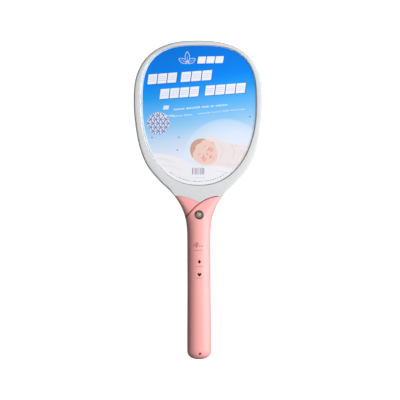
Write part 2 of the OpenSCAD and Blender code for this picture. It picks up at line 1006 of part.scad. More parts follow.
head_front_frame();
head_rear_frame();
front_spacer_ring();
rear_spacer_ring();
front_net();
middle_net();
rear_net();
display_card();
head_screws();
handle_front_shell();
handle_rear_shell();
handle_screws();
torch_bezel();
torch_lens();
torch_reflector();
torch_led();
diamond_window();
heart_window();
indicator_leds();
circuit_board();
board_screws();
transformer_core();
transformer_winding();
hv_capacitors();
mains_capacitor();
filter_capacitor();
hv_diodes();
resistors();
switching_transistor();
tact_switch();
switch_plunger();
push_button();
slide_switch();
slide_lever();
slide_knob();
battery_cell();
battery_tabs();
plug_carrier();
plug_blades();
plug_pivot_pin();
plug_contacts();
battery_leads();
net_leads();
torch_leads();
plug_leads();
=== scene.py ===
import math
import random

import bmesh
import bpy
from mathutils import Matrix, Vector

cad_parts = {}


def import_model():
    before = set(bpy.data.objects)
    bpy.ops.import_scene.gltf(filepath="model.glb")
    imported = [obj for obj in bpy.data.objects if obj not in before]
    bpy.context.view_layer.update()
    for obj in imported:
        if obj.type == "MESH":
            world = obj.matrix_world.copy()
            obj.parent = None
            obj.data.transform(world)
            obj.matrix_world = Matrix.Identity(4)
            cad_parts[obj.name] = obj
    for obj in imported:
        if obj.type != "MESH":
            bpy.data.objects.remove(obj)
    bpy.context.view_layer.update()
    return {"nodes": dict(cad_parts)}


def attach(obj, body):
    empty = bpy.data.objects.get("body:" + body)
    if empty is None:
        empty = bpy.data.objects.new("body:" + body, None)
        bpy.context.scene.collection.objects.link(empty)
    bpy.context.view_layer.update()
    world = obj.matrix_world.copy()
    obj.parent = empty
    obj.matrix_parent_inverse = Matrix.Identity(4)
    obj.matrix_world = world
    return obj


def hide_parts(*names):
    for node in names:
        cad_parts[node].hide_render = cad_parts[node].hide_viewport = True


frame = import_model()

# Sizes and places in mm: y from the handle's end, z from the parting plane of the two halves
MM = 0.001
HALF_LENGTH = 245.0     # the frame's y is measured from the middle of the length
MID_Z = 16.5            # height of the parting plane above the floor
END_LENGTH = 13.0       # length over which the handle's end is rounded
END_POWER = 2.2
LOBE_STEP = 1.1         # how far the lobe stands proud of the neck
WALL = 2.2
NECK_INSET = 0.3
FRAME_WALL = 1.6
NET_TOP = 5.1
CARD_TOP = 5.9
OPEN_Y = 395.0          # middle of the head's opening
WIDEST_Y = 399.0
TORCH_Y = 222.3
DIAMOND_Y = 150.5
HEART_Y = 130.9
HANG_Y = 9.5
HANG_R = 1.5
BUTTON_Y = 168.0
SLIDER_Y = 193.0
SLOT_Y = 196.0          # middle of the slide knob's slot
CAP_FACE = -16.3        # outer face of the button and of the slide knob
FLANGE_Z = -14.25
PLUG_Y = 23.0           # the plug's pivot
PIVOT_Z = -11.2
BLADE_X = 6.35
SOCKET_R = 6.9
SCREW_POCKET_R = 2.0
PAD_LIFT = 0.06         # thickness of the print on the handle


# ---------- shape of the part, in mm from the handle's end and from the parting plane ----------

def step(t):
    c = min(max(t, 0.0), 1.0)
    return c * c * (3 - 2 * c)


def end_round(y):
    if y >= END_LENGTH:
        return 1.0
    return max(0.0, 1 - ((END_LENGTH - y) / END_LENGTH) ** END_POWER) ** (1 / END_POWER)


def half_w(y):
    return end_round(y) * (18 + 0.6 * step((120 - y) / 100) + 22 * (max(0.0, y - 185) / 69.6) ** 2.7)


def front_h(y):
    return end_round(y) * (9.6 + 6.9 * step((270 - y) / 58))


def rear_h(y):
    return end_round(y) * (8.5 + 8.0 * step((282 - y) / 36))


def section_n(y):
    return 2.3 + 2.5 * step((y - 212) / 40)


def left_seam(x):
    return 251.5 - 9.7 * (max(0.0, x + 37) / 35) ** 2.2


def lobe_seam(x):
    return 250.6 - 29.1 * (max(0.0, 38 - x) / 55) ** 2.4


def front_seam(x):
    return left_seam(x) if x < 1 else lobe_seam(x)


def rear_seam(x):
    return 251 - 7 * (1 - min(abs(x) / 37, 1) ** 2)


def open_reach(u):
    b, n = (87.8, 2.9) if u[1] > 0 else (127.6, 2.2)
    return (abs(u[0] / 89.3) ** n + abs(u[1] / b) ** n) ** (-1 / n)


def open_outline(grow):
    points, count = [], 240
    for i in range(count):
        a = 2 * math.pi * i / count
        u = (math.sin(a), math.cos(a))
        r = open_reach(u) + grow
        points.append((u[0] * r, OPEN_Y + u[1] * r))
    return points


def spline(a, b, c, d, t):
    return tuple(
        q + 0.5 * t * ((r - p) + t * ((2 * p - 5 * q + 4 * r - s) + t * (3 * q - p - 3 * r + s)))
        for p, q, r, s in zip(a, b, c, d))


def on_shell(x, y, lift=0.0):
    """A point on the front shell's face."""
    w, h, n = half_w(y), front_h(y), section_n(y)
    return (x, y, h * max(0.0, 1 - abs(x / w) ** n) ** (1 / n) + lift)


def world(p):
    return Vector((p[0] * MM, (p[1] - HALF_LENGTH) * MM, (p[2] + MID_Z) * MM))


# ---------- mesh helpers ----------

def finish_mesh(obj, angle=32):
    me = obj.data
    me.shade_smooth()
    me.set_sharp_from_angle(angle=math.radians(angle))
    return obj


def make(name, points, faces, angle=32):
    """A mesh of points in mm. A face that repeats another one is left out."""
    bm = bmesh.new()
    verts = [bm.verts.new(world(p)) for p in points]
    for f in faces:
        try:
            bm.faces.new([verts[i] for i in f])
        except ValueError:
            pass
    bmesh.ops.remove_doubles(bm, verts=bm.verts, dist=1e-6)
    bmesh.ops.dissolve_degenerate(bm, edges=bm.edges, dist=1e-7)
    bmesh.ops.recalc_face_normals(bm, faces=bm.faces)
    me = bpy.data.meshes.new(name)
    bm.to_mesh(me)
    bm.free()
    obj = bpy.data.objects.new(name, me)
    bpy.context.scene.collection.objects.link(obj)
    return finish_mesh(obj, angle)


def skin(name, rings, loop=False, angle=32):
    """A closed surface over rings of points: a loop of rings, or a row with a cap at each end."""
    n, m = len(rings[0]), len(rings)
    faces = []
    for i in range(m if loop else m - 1):
        k = (i + 1) % m
        for j in range(n):
            l = (j + 1) % n
            faces.append((i * n + j, i * n + l, k * n + l, k * n + j))
    if not loop:
        faces.append(tuple(range(n)))
        faces.append(tuple(range((m - 1) * n, m * n))[::-1])
    return make(name, [p for ring in rings for p in ring], faces, angle)


def revolve(name, profile, at, count=72, angle=32, axis="Z"):
    """profile: (radius, height) pairs of a closed section, turned about the Z or X axis through at."""
    rings = []
    for i in range(count):
        a = 2 * math.pi * i / count
        ring = []
        for r, h in profile:
            if axis == "Z":
                ring.append((at[0] + r * math.cos(a), at[1] + r * math.sin(a), at[2] + h))
            else:
                ring.append((at[0] + h, at[1] + r * math.cos(a), at[2] + r * math.sin(a)))
        rings.append(ring)
    return skin(name, rings, loop=True, angle=angle)


def prism(name, outline, low, high, round_r=0.0, steps=4):
    """A flat outline of (x, y) from the height low to high, with its edge rounded at high."""
    cx = sum(p[0] for p in outline) / len(outline)
    cy = sum(p[1] for p in outline) / len(outline)
    rings = [[(x, y, low) for x, y in outline]]
    n = len(outline)
    normals = []
    for i in range(n):
        a, b = outline[i - 1], outline[(i + 1) % n]
        t = Vector((b[0] - a[0], b[1] - a[1]))
        t = t.normalized() if t.length > 1e-9 else Vector((1, 0))
        out = Vector((t.y, -t.x))
        if out.dot(Vector((outline[i][0] - cx, outline[i][1] - cy))) < 0:
            out = -out
        normals.append(out)
    up = 1 if high > low else -1
    for s in range(steps + 1):
        a = math.pi / 2 * s / steps
        inset, z = round_r * (1 - math.cos(a)), high - up * round_r * (1 - math.sin(a))
        rings.append([(p[0] - q.x * inset, p[1] - q.y * inset, z) for p, q in zip(outline, normals)])
        if round_r == 0:
            break
    return skin(name, rings)


def tube(name, points, radii, sides=8, flat=1.0):
    """A tube along points; radii is one radius or one for each point, and flat its height over its width."""
    rings = []
    for i, p in enumerate(points):
        r = radii[i] if isinstance(radii, list) else radii
        a, b = Vector(points[max(0, i - 1)]), Vector(points[min(len(points) - 1, i + 1)])
        t = (b - a).normalized()
        side = t.cross(Vector((0, 0, 1)))
        side = side.normalized() if side.length > 1e-6 else Vector((1, 0, 0))
        up = side.cross(t)
        rings.append([
            tuple(Vector(p) + side * (r * math.cos(2 * math.pi * k / sides))
                  + up * (flat * r * math.sin(2 * math.pi * k / sides)))
            for k in range(sides)])
    return skin(name, rings, angle=60)


def rounded_box(name, low, high, r=0.4, segments=3):
    x0, y0, z0 = low
    x1, y1, z1 = high
    pts = [(x, y, z) for z in (z0, z1) for x, y in ((x0, y0), (x1, y0), (x1, y1), (x0, y1))]
    sides = [(0, 1, 5, 4), (1, 2, 6, 5), (2, 3, 7, 6), (3, 0, 4, 7)]
    obj = make(name, pts, [(0, 3, 2, 1), (4, 5, 6, 7), *sides])
    m = obj.modifiers.new("bevel", "BEVEL")
    m.width, m.segments, m.limit_method, m.angle_limit = r * MM, segments, "ANGLE", math.radians(40)
    applied(obj)
    return finish_mesh(obj, 50)


def applied(obj):
    dg = bpy.context.evaluated_depsgraph_get()
    me = bpy.data.meshes.new_from_object(obj.evaluated_get(dg))
    old = obj.data
    obj.modifiers.clear()
    obj.data = me
    bpy.data.meshes.remove(old)
    return obj


def boolean(obj, other, how="DIFFERENCE", keep=False, angle=32):
    m = obj.modifiers.new("cut", "BOOLEAN")
    m.object, m.operation, m.solver = other, how, "MANIFOLD"
    dg = bpy.context.evaluated_depsgraph_get()
    if len(obj.evaluated_get(dg).data.polygons) == 0:
        m.solver = "EXACT"
    applied(obj)
    if not keep:
        bpy.data.objects.remove(other)
    return finish_mesh(obj, angle)


def join(name, objs, angle=32):
    bm = bmesh.new()
    for o in objs:
        bm.from_mesh(o.data)
    me = bpy.data.meshes.new(name)
    bm.to_mesh(me)
    bm.free()
    for o in objs:
        bpy.data.objects.remove(o)
    obj = bpy.data.objects.new(name, me)
    bpy.context.scene.collection.objects.link(obj)
    return finish_mesh(obj, angle)


def oblong(x, y, length, width, steps=14):
    pts = []
    for end in (1, -1):
        for i in range(steps + 1):
            a = (0 if end > 0 else math.pi) + math.pi * i / steps
            middle = y + end * (length - width) / 2
            pts.append((x + width / 2 * math.cos(a), middle + width / 2 * math.sin(a)))
    return pts


def disc(x, y, rx, ry=None, turn=0.0, count=48):
    ry = rx if ry is None else ry
    c, s = math.cos(math.radians(turn)), math.sin(math.radians(turn))
    pts = []
    for i in range(count):
        a = 2 * math.pi * i / count
        u, v = rx * math.cos(a), ry * math.sin(a)
        pts.append((x + u * c - v * s, y + u * s + v * c))
    return pts


def place(obj, material, body="swatter", stands_for=()):
    obj.data.materials.clear()
    obj.data.materials.append(material)
    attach(obj, body)
    if stands_for:
        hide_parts(*stands_for)
    return obj


# ---------- materials ----------

def srgb(r, g, b):
    def lin(v):
        v /= 255
        return v / 12.92 if v <= 0.04045 else ((v + 0.055) / 1.055) ** 2.4
    return (lin(r), lin(g), lin(b), 1)


class Graph:
    def __init__(self, name):
        self.mat = bpy.data.materials.new(name)
        self.mat.use_nodes = True
        self.nodes, self.links = self.mat.node_tree.nodes, self.mat.node_tree.links
        self.nodes.clear()
        out = self.nodes.new("ShaderNodeOutputMaterial")
        self.shader = self.nodes.new("ShaderNodeBsdfPrincipled")
        self.links.new(self.shader.outputs[0], out.inputs[0])
        self.coords = self.nodes.new("ShaderNodeTexCoord").outputs["Object"]

    def node(self, kind, **settings):
        n = self.nodes.new(kind)
        for k, v in settings.items():
            setattr(n, k, v)
        return n

    def noise(self, scale, detail=4.0, rough=0.55, stretch=None):
        n = self.node("ShaderNodeTexNoise")
        n.inputs["Scale"].default_value = scale
        n.inputs["Detail"].default_value = detail
        n.inputs["Roughness"].default_value = rough
        source = self.coords
        if stretch:
            mapping = self.node("ShaderNodeMapping")
            mapping.inputs["Scale"].default_value = stretch
            self.links.new(source, mapping.inputs[0])
            source = mapping.outputs[0]
        self.links.new(source, n.inputs["Vector"])
        return n.outputs[0]

    def spread(self, value, low, high, to_low, to_high):
        n = self.node("ShaderNodeMapRange")
        for k, v in enumerate((low, high, to_low, to_high), 1):
            n.inputs[k].default_value = v
        self.links.new(value, n.inputs[0])
        return n.outputs[0]

    def mix(self, factor, a, b, kind="MIX"):
        n = self.node("ShaderNodeMix", data_type="RGBA", blend_type=kind)
        for socket, v in ((n.inputs[0], factor), (n.inputs[6], a), (n.inputs[7], b)):
            if isinstance(v, (float, int, tuple)):
                socket.default_value = v
            else:
                self.links.new(v, socket)
        return n.outputs[2]

    def bump(self, height, strength, distance=0.0002, before=None):
        n = self.node("ShaderNodeBump")
        n.inputs["Strength"].default_value = strength
        n.inputs["Distance"].default_value = distance
        self.links.new(height, n.inputs["Height"])
        if before:
            self.links.new(before, n.inputs["Normal"])
        return n.outputs[0]

    def set(self, **values):
        for k, v in values.items():
            socket = self.shader.inputs[k.replace("_", " ")]
            if isinstance(v, (float, int, tuple)):
                socket.default_value = v
            else:
                self.links.new(v, socket)
        return self.mat


def shade(colour, by):
    return tuple(min(1.0, c * by) for c in colour[:3]) + (1,)


def moulded(name, colour, rough=0.35, coat=0.0, grain=2600.0, depth=0.10, blotch=0.05, subsurface=0.0):
    """Moulded plastic: flow marks, a fine spark grain, hairline scuffs and duller handled patches."""
    g = Graph(name)
    flow = g.noise(14.0, 3.0, 0.5, (1.0, 0.35, 1.0))
    tint = g.mix(g.spread(flow, 0.3, 0.7, 0.0, 1.0), shade(colour, 1 - blotch), shade(colour, 1 + blotch))
    scuff = g.noise(160.0, 2.0, 0.4, (1.0, 0.08, 1.0))
    scuffs = g.spread(scuff, 0.66, 0.72, 0.0, 1.0)
    base = g.mix(g.spread(scuffs, 0.0, 1.0, 0.0, 0.10), tint, shade(colour, 1.18))
    handled = g.noise(38.0, 5.0, 0.6)
    roughness = g.spread(handled, 0.3, 0.7, rough - 0.06, rough + 0.08)
    fine = g.bump(g.noise(grain, 2.0, 0.5), depth, 0.00006)
    normal = g.bump(scuffs, 0.05, 0.00005, fine)
    return g.set(Base_Color=base, Roughness=roughness, Normal=normal, Coat_Weight=coat, Coat_Roughness=0.18,
                 Subsurface_Weight=subsurface, Subsurface_Radius=(0.004, 0.002, 0.0015), IOR=1.48)


def metal(name, colour, rough=0.25, brushed=(1.0, 1.0, 1.0), tarnish=0.18):
    g = Graph(name)
    lines = g.noise(900.0, 3.0, 0.6, brushed)
    spots = g.noise(60.0, 5.0, 0.6)
    base = g.mix(g.spread(spots, 0.45, 0.75, 0.0, 1.0), colour, shade(colour, 1 - tarnish))
    roughness = g.spread(lines, 0.25, 0.75, rough - 0.07, rough + 0.10)
    return g.set(Base_Color=base, Metallic=1.0, Roughness=roughness, Normal=g.bump(lines, 0.08, 0.00004))


def printed(name, colour):
    """Ink on laminated card: a screen of fine dots under a smooth film."""
    rough, mottle = 0.32, 0.02
    g = Graph(name)
    dots = g.noise(1800.0, 1.0, 0.4)
    cloud = g.noise(25.0, 3.0)
    tint = g.mix(g.spread(dots, 0.35, 0.65, 0.0, 1.0), shade(colour, 1 - mottle), shade(colour, 1 + mottle))
    base = g.mix(g.spread(cloud, 0.3, 0.7, 0.0, 0.3), tint, shade(colour, 1 - mottle * 2))
    film = g.spread(g.noise(45.0, 4.0), 0.3, 0.7, rough - 0.05, rough + 0.06)
    return g.set(Base_Color=base, Roughness=film, Specular_IOR_Level=0.12,
                 Normal=g.bump(g.noise(700.0, 2.0), 0.03, 0.00003))


pink = moulded("pink_plastic", srgb(243, 168, 165), rough=0.44, depth=0.08, blotch=0.02, subsurface=0.05)
grey = moulded("grey_plastic", srgb(204, 206, 207), rough=0.42, coat=0.1, blotch=0.025)
ivory = moulded("ivory_plastic", srgb(226, 224, 219), rough=0.38, depth=0.12)
black = moulded("black_plastic", srgb(38, 38, 41), rough=0.45, depth=0.25, blotch=0.08)
ring_plastic = moulded("ring_plastic", srgb(214, 214, 208), rough=0.5)
wire = metal("net_wire", srgb(188, 190, 192), 0.32)
steel = metal("screw_steel", srgb(120, 122, 126), 0.34)
gunmetal = metal("bezel_metal", srgb(96, 66, 62), 0.34)
mirror = metal("bright_metal", srgb(146, 148, 148), 0.16, tarnish=0.12)
brass = metal("brass", srgb(212, 176, 104), 0.26, (1.0, 0.1, 1.0))
maroon = moulded("window_tint", srgb(54, 0, 6), rough=0.3, grain=900.0, depth=0.03, blotch=0.15)
maroon.node_tree.nodes["Principled BSDF"].inputs["Specular IOR Level"].default_value = 0.15
pad_print = moulded("pad_print", srgb(132, 62, 76), rough=0.5, blotch=0.12)
# painted shade: a dark pink for the bead in the seam groove, standing in for the groove's shadow
seam_shade_paint = moulded("seam_painted_shade", srgb(150, 78, 72), rough=0.6)


# ---------- head frame ----------

def frame_outline(front):
    knots = [(95.7, 433), (99.5, WIDEST_Y), (97.5, 365.4), (91.1, 328.5), (79, 298),
             (59, 273.5), (45.2, 260.8), (37.2, 251.2), (29.5, 241)]
    right = []
    for i in range(36):
        a = math.radians(2.5 * i)
        right.append((99.5 * math.sin(a) ** 0.8, WIDEST_Y + 91 * math.cos(a) ** 0.8, 3.0))
    for i in range(1, 7):
        for s in range(9):
            x, y = spline(*knots[i - 1:i + 3], s / 9)
            right.append((x, y, 3.0 if y > 262 else 0.8 + 2.2 * step((y - 251) / 11)))
    curve = front_seam if front else rear_seam
    seam = []
    for i in range(73):
        x = 37.0 - i * 74.0 / 72
        seam.append((x, curve(x) + 0.15, 0.25))
    left = [(-x, y, r) for x, y, r in right[:0:-1]]
    return right + seam + left


def frame_section(w, r):
    """Triples, outside first: distance out from the opening, height, and True for a height from the face."""
    rim = 1.1
    seat = NET_TOP + 0.05
    out = [(w - 0.12, 0.0, False), (w, 0.15, False), (w, -r - 0.8, True)]
    for i in range(7):
        a = math.pi / 2 * i / 6
        out.append((w - r * (1 - math.cos(a)), -r * (1 - math.sin(a)), True))
    inner, outer = rim, w - r
    for i in range(1, 12):
        t = i / 12
        out.append((outer + (inner - outer) * t, 0.12 * math.sin(math.pi * t), True))
    for i in range(6):
        a = math.pi / 2 * i / 5
        out.append((rim * (1 - math.sin(a)), -rim * (1 - math.cos(a)), True))
    out += [(0.0, NET_TOP + 0.3, False), (0.25, seat, False), (FRAME_WALL, seat, False),
            (FRAME_WALL, -FRAME_WALL, True), (w - FRAME_WALL, -FRAME_WALL, True),
            (w - FRAME_WALL, 0.0, False)]
    return out


def frame_half(name, front):
    rings = []
    for x, y, r in frame_outline(front):
        d = (x, y - OPEN_Y)
        size = math.hypot(*d)
        u = (d[0] / size, d[1] / size)
        reach = open_reach(u)
        ring = []
        for s in frame_section(size - reach, r):
            px, py = u[0] * (reach + s[0]), OPEN_Y + u[1] * (reach + s[0])
            face = front_h(py) - LOBE_STEP if front else rear_h(py)
            z = face + s[1] if s[2] else s[1]
            ring.append((px, py, z if front else -z))
        rings.append(ring)
    body = skin(name + "_ring", rings, loop=True, angle=40)
    lo, hi = (0.0, 7.0) if front else (-7.0, 0.0)
    rails = [rounded_box("rail", (x0, 232, lo), (x1, 256, hi), 0.5) for x0, x1 in ((4, 14), (-14, -4))]
    return join(name, [body, *rails], 40)


def head_screw_places():
    outline = [(x, y) for x, y, _ in frame_outline(False)]
    places = []
    for angle in (-145, -112, -78, 78, 112, 145):
        u = (math.sin(math.radians(angle)), math.cos(math.radians(angle)))
        reach = 0.0
        for a, b in zip(outline, outline[1:] + outline[:1]):
            a, b = (a[0], a[1] - OPEN_Y), (b[0], b[1] - OPEN_Y)
            sa, sb = u[0] * a[1] - u[1] * a[0], u[0] * b[1] - u[1] * b[0]
            if sa * sb <= 0 and a[0] * u[0] + a[1] * u[1] > 0 and sa != sb:
                t = sa / (sa - sb)
                reach = math.hypot(a[0] + (b[0] - a[0]) * t, a[1] + (b[1] - a[1]) * t)
        at = 0.53 * open_reach(u) + 0.47 * reach
        places.append((u[0] * at, OPEN_Y + u[1] * at))
    return places


HEAD_SCREWS = head_screw_places()
SHELL_SCREWS = [(0, 56.5), (-14.5, 221), (14.5, 221), (-9, 238.5), (9, 238.5)]


def pocket(at, r, floor, mouth):
    """A cutter for a screw's recess in the rear, with a small chamfer at its mouth."""
    flare = 0.35
    profile = [(0.0, floor), (r - 0.15, floor), (r, floor - 0.15), (r, mouth + flare), (r + flare, mouth),
               (r + flare + 1.0, mouth - 1.0), (0.0, mouth - 1.0)]
    return revolve("pocket", profile, (at[0], at[1], 0.0), 40)


front_frame = frame_half("head_frame_front", True)
place(front_frame, grey, stands_for=["head_front_frame"])
rear_frame = frame_half("head_frame_rear", False)
for at in HEAD_SCREWS:
    boolean(rear_frame, pocket(at, SCREW_POCKET_R, -6.4, -8.5), angle=40)
place(rear_frame, grey, stands_for=["head_rear_frame"])


def flat_ring(name, inner, outer, low, high, r=0.2):
    """A band round the opening, with chamfered edges."""
    rings = []
    for p, q in zip(open_outline(inner), open_outline(outer)):
        u = Vector((q[0] - p[0], q[1] - p[1])).normalized() * r
        section = ((p, 0, low + r), (p, 1, low), (q, -1, low), (q, 0, low + r),
                   (q, 0, high - r), (q, -1, high), (p, 1, high), (p, 0, high - r))
        rings.append([(at[0] + k * u.x, at[1] + k * u.y, z) for at, k, z in section])
    return skin(name, rings, loop=True, angle=30)


for side, low, high in (("front", 0.65, 3.8), ("rear", -3.8, -0.65)):
    spacer = flat_ring("spacer_" + side, -0.2, 1.4, low, high)
    place(spacer, ring_plastic, stands_for=[side + "_spacer_ring"])


# ---------- nets ----------

def inside_open(x, y, grow):
    d = (x, y - OPEN_Y)
    size = math.hypot(*d)
    return size < 1e-6 or size < open_reach((d[0] / size, d[1] / size)) + grow


def span(origin, u):
    """The part of a line that lies inside the opening, as two distances along it."""
    pace = 0.5
    hits = [s * pace for s in range(-300, 301)
            if inside_open(origin[0] + u[0] * s * pace, origin[1] + u[1] * s * pace, 0.2)]
    return (hits[0], hits[-1]) if hits else None


def diamond_net(name, z):
    """Crossed wires in two directions that pass over and under each other, in a rolled rim."""
    slant, pitch, r, wave, centre_y = math.radians(55), 8.6, 0.42, 0.16, 375
    between = pitch / math.sin(2 * slant)
    parts = []
    for sign in (1, -1):
        u = (math.cos(slant), sign * math.sin(slant))
        v = (-u[1], u[0])
        for i in range(-18, 19):
            origin = (v[0] * pitch * i, centre_y + v[1] * pitch * i)
            ends = span(origin, u)
            if not ends or ends[1] - ends[0] < 6:
                continue
            count = max(4, int((ends[1] - ends[0]) / abs(between) * 4))
            points = []
            for k in range(count + 1):
                s = ends[0] + (ends[1] - ends[0]) * k / count
                lift = sign * wave * math.cos(math.pi * (s / between - i * math.cos(2 * slant)))
                points.append((origin[0] + u[0] * s, origin[1] + u[1] * s, z + lift))
            parts.append(tube("w", points, r, 6))
    parts.append(flat_ring("rim", -0.8, 1.4, z - 0.6, z + 0.6, 0.25))
    return join(name, parts, 50)


for side, z in (("front", 4.5), ("rear", -4.5)):
    place(diamond_net("net_" + side, z), wire, stands_for=[side + "_net"])


def middle_net():
    """Straight bars along the handle's direction, in a rolled rim."""
    parts, pitch, r = [], 4.0, 0.45
    for i in range(-21, 22):
        x = i * pitch
        ends = span((x, OPEN_Y), (0.0, 1.0))
        if ends:
            bar_path = [(x, OPEN_Y + ends[0] + (ends[1] - ends[0]) * k / 6, 0.0) for k in range(7)]
            parts.append(tube("w", bar_path, r))
    parts.append(flat_ring("rim", 0.0, 1.4, -0.6, 0.6, 0.2))
    return join("net_middle", parts, 50)


place(middle_net(), wire, stands_for=["middle_net"])


# ---------- handle shells ----------

def arch_x(a, w, n):
    return w * math.copysign(abs(math.cos(a)) ** (2 / n), math.cos(a))


def shell_point(a, y, front, inset=0.0, drop=0.0):
    """A point of a shell at the section angle a; the rear shell is flat where it would pass its rest face."""
    n = section_n(y)
    w = max(half_w(y) - inset, 0.0)
    rise = math.sin(a) ** (2 / n)
    if front:
        z = max(front_h(y) - drop, 0.0) * rise
    else:
        cap = rear_h(y) - drop
        z = max((rear_h(y) + 0.9 * end_round(y)) - drop, 0.0) * rise
        soft = 0.35
        if z > cap - soft:
            t = min((z - cap + soft) / (0.9 + soft), 1.0)
            z = cap - soft + soft * (1 - (1 - t) ** 2)
    groove = 0.3 * max(0.0, 1 - z / 0.35) ** 2 if inset == 0.0 else 0.0
    x = arch_x(a, max(w - groove, 0.0), n)
    return (x, y, z if front else -z)


def meets(a, curve, inset=0.0):
    """Where the line of one column meets a seam: y with y = curve(x)."""
    y = 235.0
    for _ in range(60):
        x = arch_x(a, max(half_w(y) - inset, 0.0), section_n(y))
        y += 0.5 * (curve(x) - y)
    return y


def columns(first, last, count):
    """Section angles, closer together at both seams when they go all the way round."""
    lo, hi = math.radians(first), math.radians(last)
    out = []
    for i in range(count + 1):
        t = i / count
        if first == 0 and last == 180:
            t = 0.5 * (1 - math.cos(math.pi * t)) * 0.6 + t * 0.4
        out.append(lo + (hi - lo) * t)
    return out


def end_rows():
    rows = []
    for i in range(12):
        p = math.radians(90 * i / 12)
        rows.append(END_LENGTH * (1 - math.cos(p) ** (2 / END_POWER)))
    return rows


def shell_sheet(name, cols, high_of, front, thick, edge, inset=0.0, drop=0.0, low_of=None):
    """A shell of even thickness over columns of one section angle each, up to high_of(a).

    It begins at low_of(a), or at the handle's closed end where low_of isn't given.
    """
    from_end, split = low_of is None, 196.0
    paths = []
    for a in cols:
        low, high = split if from_end else low_of(a), high_of(a)
        ys = []
        if from_end:
            ys += end_rows()
            ys += [END_LENGTH + (split - END_LENGTH) * i / 60 for i in range(61)]
        steps = 34
        ys += [low + (high - edge - low) * i / steps for i in range(1 if from_end else 0, steps + 1)]
        outer = [shell_point(a, y, front, inset, drop) for y in ys]
        side = 1 if front else -1
        lip = []
        for i in range(1, 6):
            t = math.pi / 2 * i / 5
            x, y, z = shell_point(a, high - edge * (1 - math.sin(t)), front, inset, drop)
            lip.append((x, y, z - side * edge * (1 - math.cos(t)) * (1 if abs(z) > edge else abs(z) / edge)))
        inner = []
        for y in reversed(ys[:-1] + [high]):
            back = max(y, thick if from_end else y)
            if from_end and y < thick:
                p = (0.0, thick, 0.0)
            else:
                p = shell_point(a, back, front, inset + thick, drop + thick)
                p = (p[0], p[1], side * max(side * p[2], 0.0))
                if from_end and y < END_LENGTH:
                    k = end_round(max(0.0, (y - thick) / (END_LENGTH - thick) * END_LENGTH))
                    k /= max(end_round(y), 1e-6)
                    p = (p[0] * min(k, 1.0), p[1], p[2] * min(k, 1.0))
            inner.append(p)
        paths.append((outer, lip, inner))
    points, faces = [], []
    width = len(paths[0][0]) + len(paths[0][1]) + len(paths[0][2])
    for outer, lip, inner in paths:
        points += outer + lip + inner
    for c in range(len(paths) - 1):
        for k in range(width - 1):
            i, j = c * width + k, (c + 1) * width + k
            faces.append((i, i + 1, j + 1, j))
        faces.append(((c + 1) * width - 1, c * width, (c + 1) * width, (c + 2) * width - 1))
    n_out, n_lip = len(paths[0][0]), len(paths[0][1])
    for c in (0, len(paths) - 1):
        base = c * width
        for i in range(n_out - 1):
            faces.append((base + i, base + i + 1, base + width - 2 - i, base + width - 1 - i))
        faces.append(tuple(base + k for k in range(n_out - 1, n_out + n_lip + 1)))
    return make(name, points, faces, 40)


full = columns(0, 180, 110)
lobe = shell_sheet("handle_front", full, lambda a: meets(a, lobe_seam), True, WALL, edge=0.9)
plate_columns = columns(180, 72, 60)


def plate_high(a):
    return meets(a, left_seam, NECK_INSET)


def plate_low(a):
    return min(meets(a, lobe_seam, NECK_INSET) - 1.6, plate_high(a) - 0.9)


neck_plate = shell_sheet("handle_front_neck", plate_columns, plate_high, True, 1.6, 0.12,
                         NECK_INSET, LOBE_STEP, plate_low)

# The gap beside the lobe's edge narrows to the right, and a dark bead in its floor is painted shade that
# darkens the gap's shadow line
BEAD_R = [1.0 - 0.6 * i / 60 for i in range(61)]


def seam_path(deeper):
    """Points along the gap, deeper(r) below the neck plate's face."""
    path = []
    for i, r in enumerate(BEAD_R):
        a = math.radians(176 - 158 * i / 60)
        y = meets(a, lobe_seam) + r + 0.05
        path.append(shell_point(a, y, True, NECK_INSET, LOBE_STEP + deeper(r)))
    return path


seam_groove = tube("seam_groove", seam_path(lambda r: 0.0), [r + 0.3 for r in BEAD_R], 12)
boolean(neck_plate, seam_groove, keep=True, angle=40)
boolean(front_frame, seam_groove, angle=32)
# painted shade: a dark strip lying in the groove so that it reads as a shadow line
painted_shade_bead = tube("painted_shade_bead", seam_path(lambda r: 0.35 + 0.3 * r), BEAD_R, 12, flat=0.5)
place(painted_shade_bead, seam_shade_paint)
hole_profile = [(0, -1), (HANG_R, -1), (HANG_R, 14.6), (2.5, 16.6), (2.5, 20), (0, 20)]
boolean(lobe, revolve("hole", hole_profile, (0, HANG_Y, 0), 40), angle=40)
torch_face = front_h(TORCH_Y)
socket_profile = [(0, 5), (SOCKET_R, 5), (SOCKET_R, torch_face - 0.5), (7.25, torch_face + 0.9),
                  (7.25, 25), (0, 25)]
boolean(lobe, revolve("socket", socket_profile, (0, TORCH_Y, 0), 72), angle=40)


def diamond(w):
    """A diamond with slightly rounded corners."""
    corners = [(0, 1.3 * w), (w, 0), (0, -1.3 * w), (-w, 0)]
    pts, steps = [], 6
    for i in range(4):
        a, b, c = (Vector(corners[k % 4]) for k in (i - 1, i, i + 1))
        p, q = b + (a - b) * 0.12, b + (c - b) * 0.12
        for s in range(steps + 1):
            t = s / steps
            pts.append(p * (1 - t) ** 2 + b * 2 * t * (1 - t) + q * t * t)
    return [(p.x, p.y + DIAMOND_Y) for p in pts]


def heart(w):
    pts, count = [], 72
    for i in range(count):
        a = 2 * math.pi * i / count
        rise = 13 * math.cos(a) - 5 * math.cos(2 * a) - 2 * math.cos(3 * a) - math.cos(4 * a)
        pts.append((w * math.sin(a) ** 3, HEART_Y + w * rise / 16))
    return pts


for shape in (diamond(2.5), heart(3.2)):
    boolean(lobe, prism("cut", shape, 8, 24), angle=40)
place(lobe, pink, stands_for=["handle_front_shell"])
place(neck_plate, pink)
for kind, shape in (("diamond", diamond(2.4)), ("heart", heart(3.1))):
    window = prism("window_" + kind, shape, 14.1, 16.62, 0.25, steps=5)
    place(window, maroon, stands_for=[kind + "_window"])

